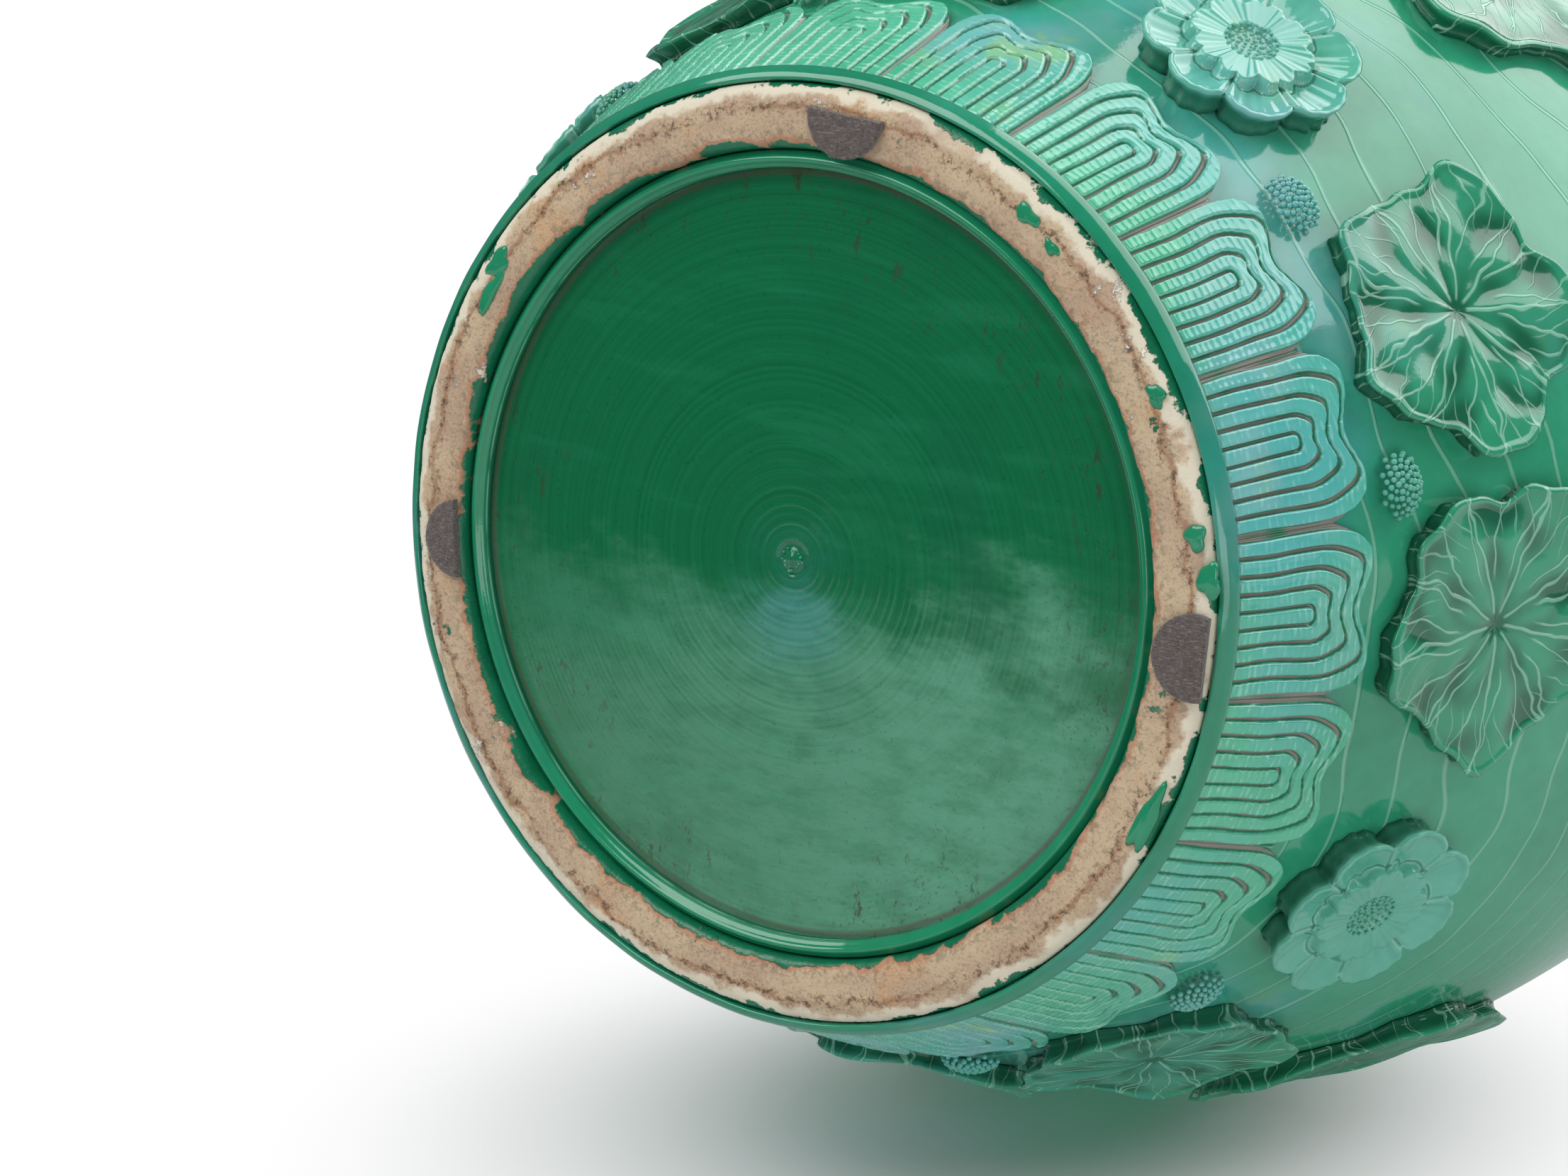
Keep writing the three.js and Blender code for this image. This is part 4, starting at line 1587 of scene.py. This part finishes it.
@dataclass
class FeltPads(Builder):
    """Three stick-on felt discs, each cut straight on one side; sizes in millimetres."""

    radius: float = 12.0
    thickness: float = 2.5
    nap: float = 0.16
    cuts: tuple[Cut, ...] = (Cut(-85, 128.6, 12.3, -1), Cut(173.5, 117, 11.5, 1), Cut(1, 135, 15.5, -1))
    turns: int = 120
    rings: int = 24
    fibres: int = 520

    def build(self) -> None:
        """Build each pad over its own solid, then its loose fibres."""
        strands = Fibres()
        for number, cut in enumerate(self.cuts, 1):
            self.pad(number, cut)
            self.fuzz(number, cut, strands)

    def outline(self, cut: Cut) -> np.ndarray:
        """Trace a pad's outline round its disc's middle.

        Args:
            cut: The pad's cut.

        Returns:
            Radial and tangential place of each point, in millimetres, counterclockwise.
        """
        end = math.acos((self.radius - cut.depth) / self.radius)
        arc = np.linspace(-end, end, 3 * self.turns // 4)
        line = np.linspace(1, -1, self.turns - len(arc) + 2)[1:-1] * self.radius * math.sin(end)
        points = np.vstack([
            np.stack([self.radius * np.cos(arc), self.radius * np.sin(arc)], -1),
            np.stack([np.full_like(line, self.radius - cut.depth), line], -1),
        ])
        return points if cut.side > 0 else points * [-1, 1]

    def place(self, cut: Cut, spots: np.ndarray) -> np.ndarray:
        """Turn places round a disc's middle into places under the foot.

        Args:
            cut: The pad's cut.
            spots: Radial and tangential place of each point, in millimetres.

        Returns:
            Their places in metres, on the ground.
        """
        turn = math.radians(cut.turn)
        radial = np.array([math.cos(turn), math.sin(turn)])
        along = np.array([-math.sin(turn), math.cos(turn)])
        distance = cut.chord - cut.side * (self.radius - cut.depth)
        flat = (distance + spots[:, :1]) * radial + spots[:, 1:] * along
        return np.column_stack([flat, np.zeros(len(flat))]) * MM

    def pad(self, number: int, cut: Cut) -> None:
        """Build one pad with a soft, uneven edge.

        Args:
            number: Its number.
            cut: Its cut.
        """
        grain, lint = Grain(90 + number), Grain(95 + number)
        shape = self.outline(cut)
        middle = shape.mean(0)
        loops = []
        for share in np.append(np.arange(1, self.rings + 1) / self.rings, [1.0, 1.0, 0.99]):
            loops.append(self.place(cut, middle + (shape - middle) * share * 0.995))
        points = np.stack(loops)
        edge = np.clip((np.arange(1, self.rings + 1) / self.rings - 0.9) / 0.1, 0, 1)[:, None] ** 2
        rough = 0.12 * grain(points[:-3], 5 * MM) + 0.09 * lint(points[:-3], 1.4 * MM)
        points[:-3, :, 2] = np.clip(self.nap + 0.45 * edge + rough, 0, 0.9) * MM
        points[-3:, :, 2] = np.array([0.5, 0.92, 1.0])[:, None] * self.thickness * MM
        hub = self.place(cut, middle[None, :])[0]
        rows, columns = points.shape[:2]
        faces = wrap_faces(rows, columns, False, True).tolist() + cap_faces(rows, columns)
        ends = np.array([[*hub[:2], self.nap * MM], [*hub[:2], self.thickness * MM]])
        piece = make_mesh(f"felt_pad_{number}_needled", np.vstack([points.reshape(-1, 3), ends]), faces)
        recalculate(piece)
        self.hand_over(piece, Finish.FELT, "felt", f"felt_pad_{number}")

    def fuzz(self, number: int, cut: Cut, strands: "Fibres") -> None:
        """Lay loose fibres on a pad's underside.

        Args:
            number: The pad's number.
            cut: Its cut.
            strands: What lays the fibres.
        """
        rng = np.random.default_rng(110 + number)
        shape = self.outline(cut)
        middle = shape.mean(0)
        edge = shape[rng.integers(0, len(shape), self.fibres)]
        spots = self.place(cut, middle + (edge - middle) * np.sqrt(rng.uniform(0, 0.93, (self.fibres, 1))))
        spots[:, 2] = 0.22 * MM
        piece = strands.lay(f"felt_pad_{number}_fibres", spots, rng, self.kiln(Finish.FIBRE))
        self.hand_over(piece, Finish.FIBRE, "felt")


class Fibres(Strewing):
    """Lays a short bent strand on every spot."""

    def __init__(self, length: float = 1.7 * MM, width: float = 0.035 * MM) -> None:
        """Build the tree.

        Args:
            length: Length of a strand.
            width: Its radius.
        """
        super().__init__("fibres", Length=length, Width=width)
        line = self.node("GeometryNodeCurveQuadraticBezier", Resolution=4,
                         Start=(-0.5, 0, 0), Middle=(0.1, 0.45, -0.08), End=(0.5, 0, 0.05))
        size = self.node("GeometryNodeTransform")
        round_line = self.node("GeometryNodeCurvePrimitiveCircle", Resolution=4)
        tube = self.node("GeometryNodeCurveToMesh", Fill_Caps=True)
        self.link(line.outputs[0], size.inputs["Geometry"])
        self.link(self.start.outputs["Length"], size.inputs["Scale"])
        self.link(self.start.outputs["Width"], round_line.inputs["Radius"])
        self.link(size.outputs[0], tube.inputs["Curve"])
        self.link(round_line.outputs[0], tube.inputs["Profile Curve"])
        self.close(tube.outputs[0], "way", "FLOAT_VECTOR", "Rotation", False)

    def lay(self, name: str, spots: np.ndarray, rng: np.random.Generator,
            finish: bpy.types.Material) -> bpy.types.Object:
        """Lay strands on spots and turn the result into a plain mesh.

        Args:
            name: Name of the piece.
            spots: Place of each strand.
            rng: Source of the strands' turns.
            finish: Their material.

        Returns:
            The plain mesh object.
        """
        tilt = rng.uniform(-0.12, 0.12, (len(spots), 2))
        ways = np.column_stack([tilt, rng.uniform(0, TAU, len(spots))]).ravel()
        return self.realised(name, spots.tolist(), "way", "FLOAT_VECTOR", ways, finish)


@dataclass
class Studio:
    """Camera, lamps, floor and the table that the vase lies against, in metres."""

    eye: tuple[float, float, float] = (0.4886, -0.1974, -0.764)
    right: tuple[float, float, float] = (0.833, -0.071, 0.548)
    down: tuple[float, float, float] = (0.179, 0.973, -0.146)
    focal_px: float = 4608.0
    frame_px: float = 2212.0
    sensor: float = 36.0
    skies: tuple[tuple[Colour, float], ...] = (
        ((0.94, 0.97, 1.0), 0.42), ((0.9, 0.95, 1.0), 0.1), ((1.0, 1.0, 1.0), 1.0))
    table_normal: tuple[float, float, float] = (-0.13, -0.99, -0.03)
    table_middle: tuple[float, float, float] = (-0.02, 0.2235, 0.19)
    table_size: float = 2.6
    floor_size: float = 4.0
    floor_drop: float = 0.0002

    def camera(self) -> None:
        """Set the camera where the photograph was taken."""
        data = bpy.data.cameras.new("view")
        data.sensor_width = self.sensor
        data.lens = self.sensor * self.focal_px / self.frame_px
        data.clip_start, data.clip_end = 0.01, 60
        camera = put("view", data)
        x = Vector(self.right).normalized()
        y = -Vector(self.down).normalized()
        z = x.cross(y)
        turn = Matrix((x, z.cross(x), z)).transposed().to_4x4()
        camera.matrix_world = Matrix.Translation(Vector(self.eye)) @ turn
        bpy.context.scene.camera = camera

    def plane(self, name: str, centre: Vector, normal: Vector, size: float) -> bpy.types.Object:
        """Lay a one-sided square.

        Args:
            name: Name of the square.
            centre: Its middle.
            normal: The side that shows.
            size: Length of a side.

        Returns:
            The square.
        """
        u = normal.orthogonal().normalized() * size / 2
        v = normal.cross(u)
        corners = [-u - v, u - v, u + v, v - u]
        mesh = bpy.data.meshes.new(name)
        mesh.from_pydata([tuple(c) for c in corners], [], [(0, 1, 2, 3)])
        made = put(name, mesh)
        made.location = centre
        return made

    def paper(self, name: str, colour: Colour, near: float, far: float,
              mirrored: float = 0.0) -> bpy.types.Material:
        """Make a matt white that shows from one side only and fades out round its middle.

        Args:
            name: Name of the material.
            colour: Its colour.
            near: Distance from the middle at which it starts to fade.
            far: Distance at which it is gone.
            mirrored: How strongly it shows in gloss, where it doesn't fade.

        Returns:
            The material.
        """
        sheet = Sheet(name)
        tree = sheet.tree
        away = sheet.node("ShaderNodeVectorMath", {"operation": "LENGTH"}, sheet.place, out="Value")
        side = sheet.node("ShaderNodeNewGeometry", {}, out="Backfacing")
        seen = sheet.node("ShaderNodeLightPath", {}, out="Is Camera Ray")
        gloss = sheet.node("ShaderNodeLightPath", {}, out="Is Glossy Ray")
        shown = (away.step(far, near) * seen + gloss * (1 - seen) * mirrored) * (1 - side)
        matt = tree.nodes.new("ShaderNodeBsdfDiffuse")
        matt.inputs[0].default_value = (*colour, 1)
        clear = tree.nodes.new("ShaderNodeBsdfTransparent")
        pick = tree.nodes.new("ShaderNodeMixShader")
        end = tree.nodes.new("ShaderNodeOutputMaterial")
        sheet.feed(pick.inputs[0], shown)
        tree.links.new(clear.outputs[0], pick.inputs[1])
        tree.links.new(matt.outputs[0], pick.inputs[2])
        tree.links.new(pick.outputs[0], end.inputs[0])
        return sheet.material

    def lamp(self, name: str, place: Vector, aim: Vector, size: float, power: float) -> None:
        """Hang a soft square lamp.

        Args:
            name: Name of the lamp.
            place: Where it hangs.
            aim: What it points at.
            size: Length of its side.
            power: Its power in watts.
        """
        data = bpy.data.lights.new(name, "AREA")
        data.size = size
        data.energy = power
        lamp = put(name, data)
        lamp.location = place
        lamp.rotation_mode = "QUATERNION"
        lamp.rotation_quaternion = (aim - place).to_track_quat("-Z", "Y")

    def world(self) -> None:
        """Light the surroundings softly and show them white."""
        world = bpy.data.worlds.new("studio")
        bpy.context.scene.world = world
        world.use_nodes = True
        tree = world.node_tree
        tree.nodes.clear()
        soft, dim, white = (tree.nodes.new("ShaderNodeBackground") for _ in range(3))
        for sky, (colour, strength) in zip((soft, dim, white), self.skies):
            sky.inputs["Color"].default_value = (*colour, 1)
            sky.inputs["Strength"].default_value = strength
        path = tree.nodes.new("ShaderNodeLightPath")
        mirror = tree.nodes.new("ShaderNodeMixShader")
        pick = tree.nodes.new("ShaderNodeMixShader")
        end = tree.nodes.new("ShaderNodeOutputWorld")
        tree.links.new(path.outputs["Is Glossy Ray"], mirror.inputs[0])
        tree.links.new(soft.outputs[0], mirror.inputs[1])
        tree.links.new(dim.outputs[0], mirror.inputs[2])
        tree.links.new(path.outputs["Is Camera Ray"], pick.inputs[0])
        tree.links.new(mirror.outputs[0], pick.inputs[1])
        tree.links.new(white.outputs[0], pick.inputs[2])
        tree.links.new(pick.outputs[0], end.inputs[0])

    def build(self) -> None:
        """Set up the whole studio."""
        self.camera()
        up = Vector(self.table_normal).normalized()
        table = self.plane("table", Vector(self.table_middle), up, self.table_size)
        # painted shadow: the table is a grey (0.6) sheet that fades out round its middle, so it reads as a
        # soft shadow on top of the real shadows it catches
        table.data.materials.append(self.paper("table_painted_shadow", (0.6, 0.6, 0.6), 0.05, 0.26, 1.0))
        floor = self.plane("floor", Vector((0, 0, -self.floor_drop)), Vector((0, 0, 1)), self.floor_size)
        floor.data.materials.append(self.paper("floor_paper", (0.92, 0.92, 0.92), 0.4, 1.4))
        aim = Vector((0, 0, 0.15))
        self.lamp("key", Vector((-1.1, -2.0, -1.5)), aim, 2.2, 60)
        self.lamp("far", Vector((0.9, -1.9, 1.6)), aim, 2.6, 60)
        self.lamp("fill", Vector((1.8, 0.4, -1.2)), aim, 1.6, 18)
        self.lamp("back", Vector((-1.4, 2.0, 1.2)), aim, 2.0, 30)
        self.world()
        bpy.context.scene.view_settings.view_transform = "Standard"


def main() -> None:
    """Build the vase part by part and report each piece."""
    logging.basicConfig(level=logging.INFO, format="%(name)s: %(message)s")
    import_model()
    studio = Studio()
    studio.build()
    profile = Profile()
    kiln = Kiln()
    for part in (Foot, Walls, LappetBand, Pond, FeltPads):
        part(profile, kiln).build()
        LOG.info("%s built", part.__name__)
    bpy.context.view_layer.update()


if __name__ == "__main__":
    main()
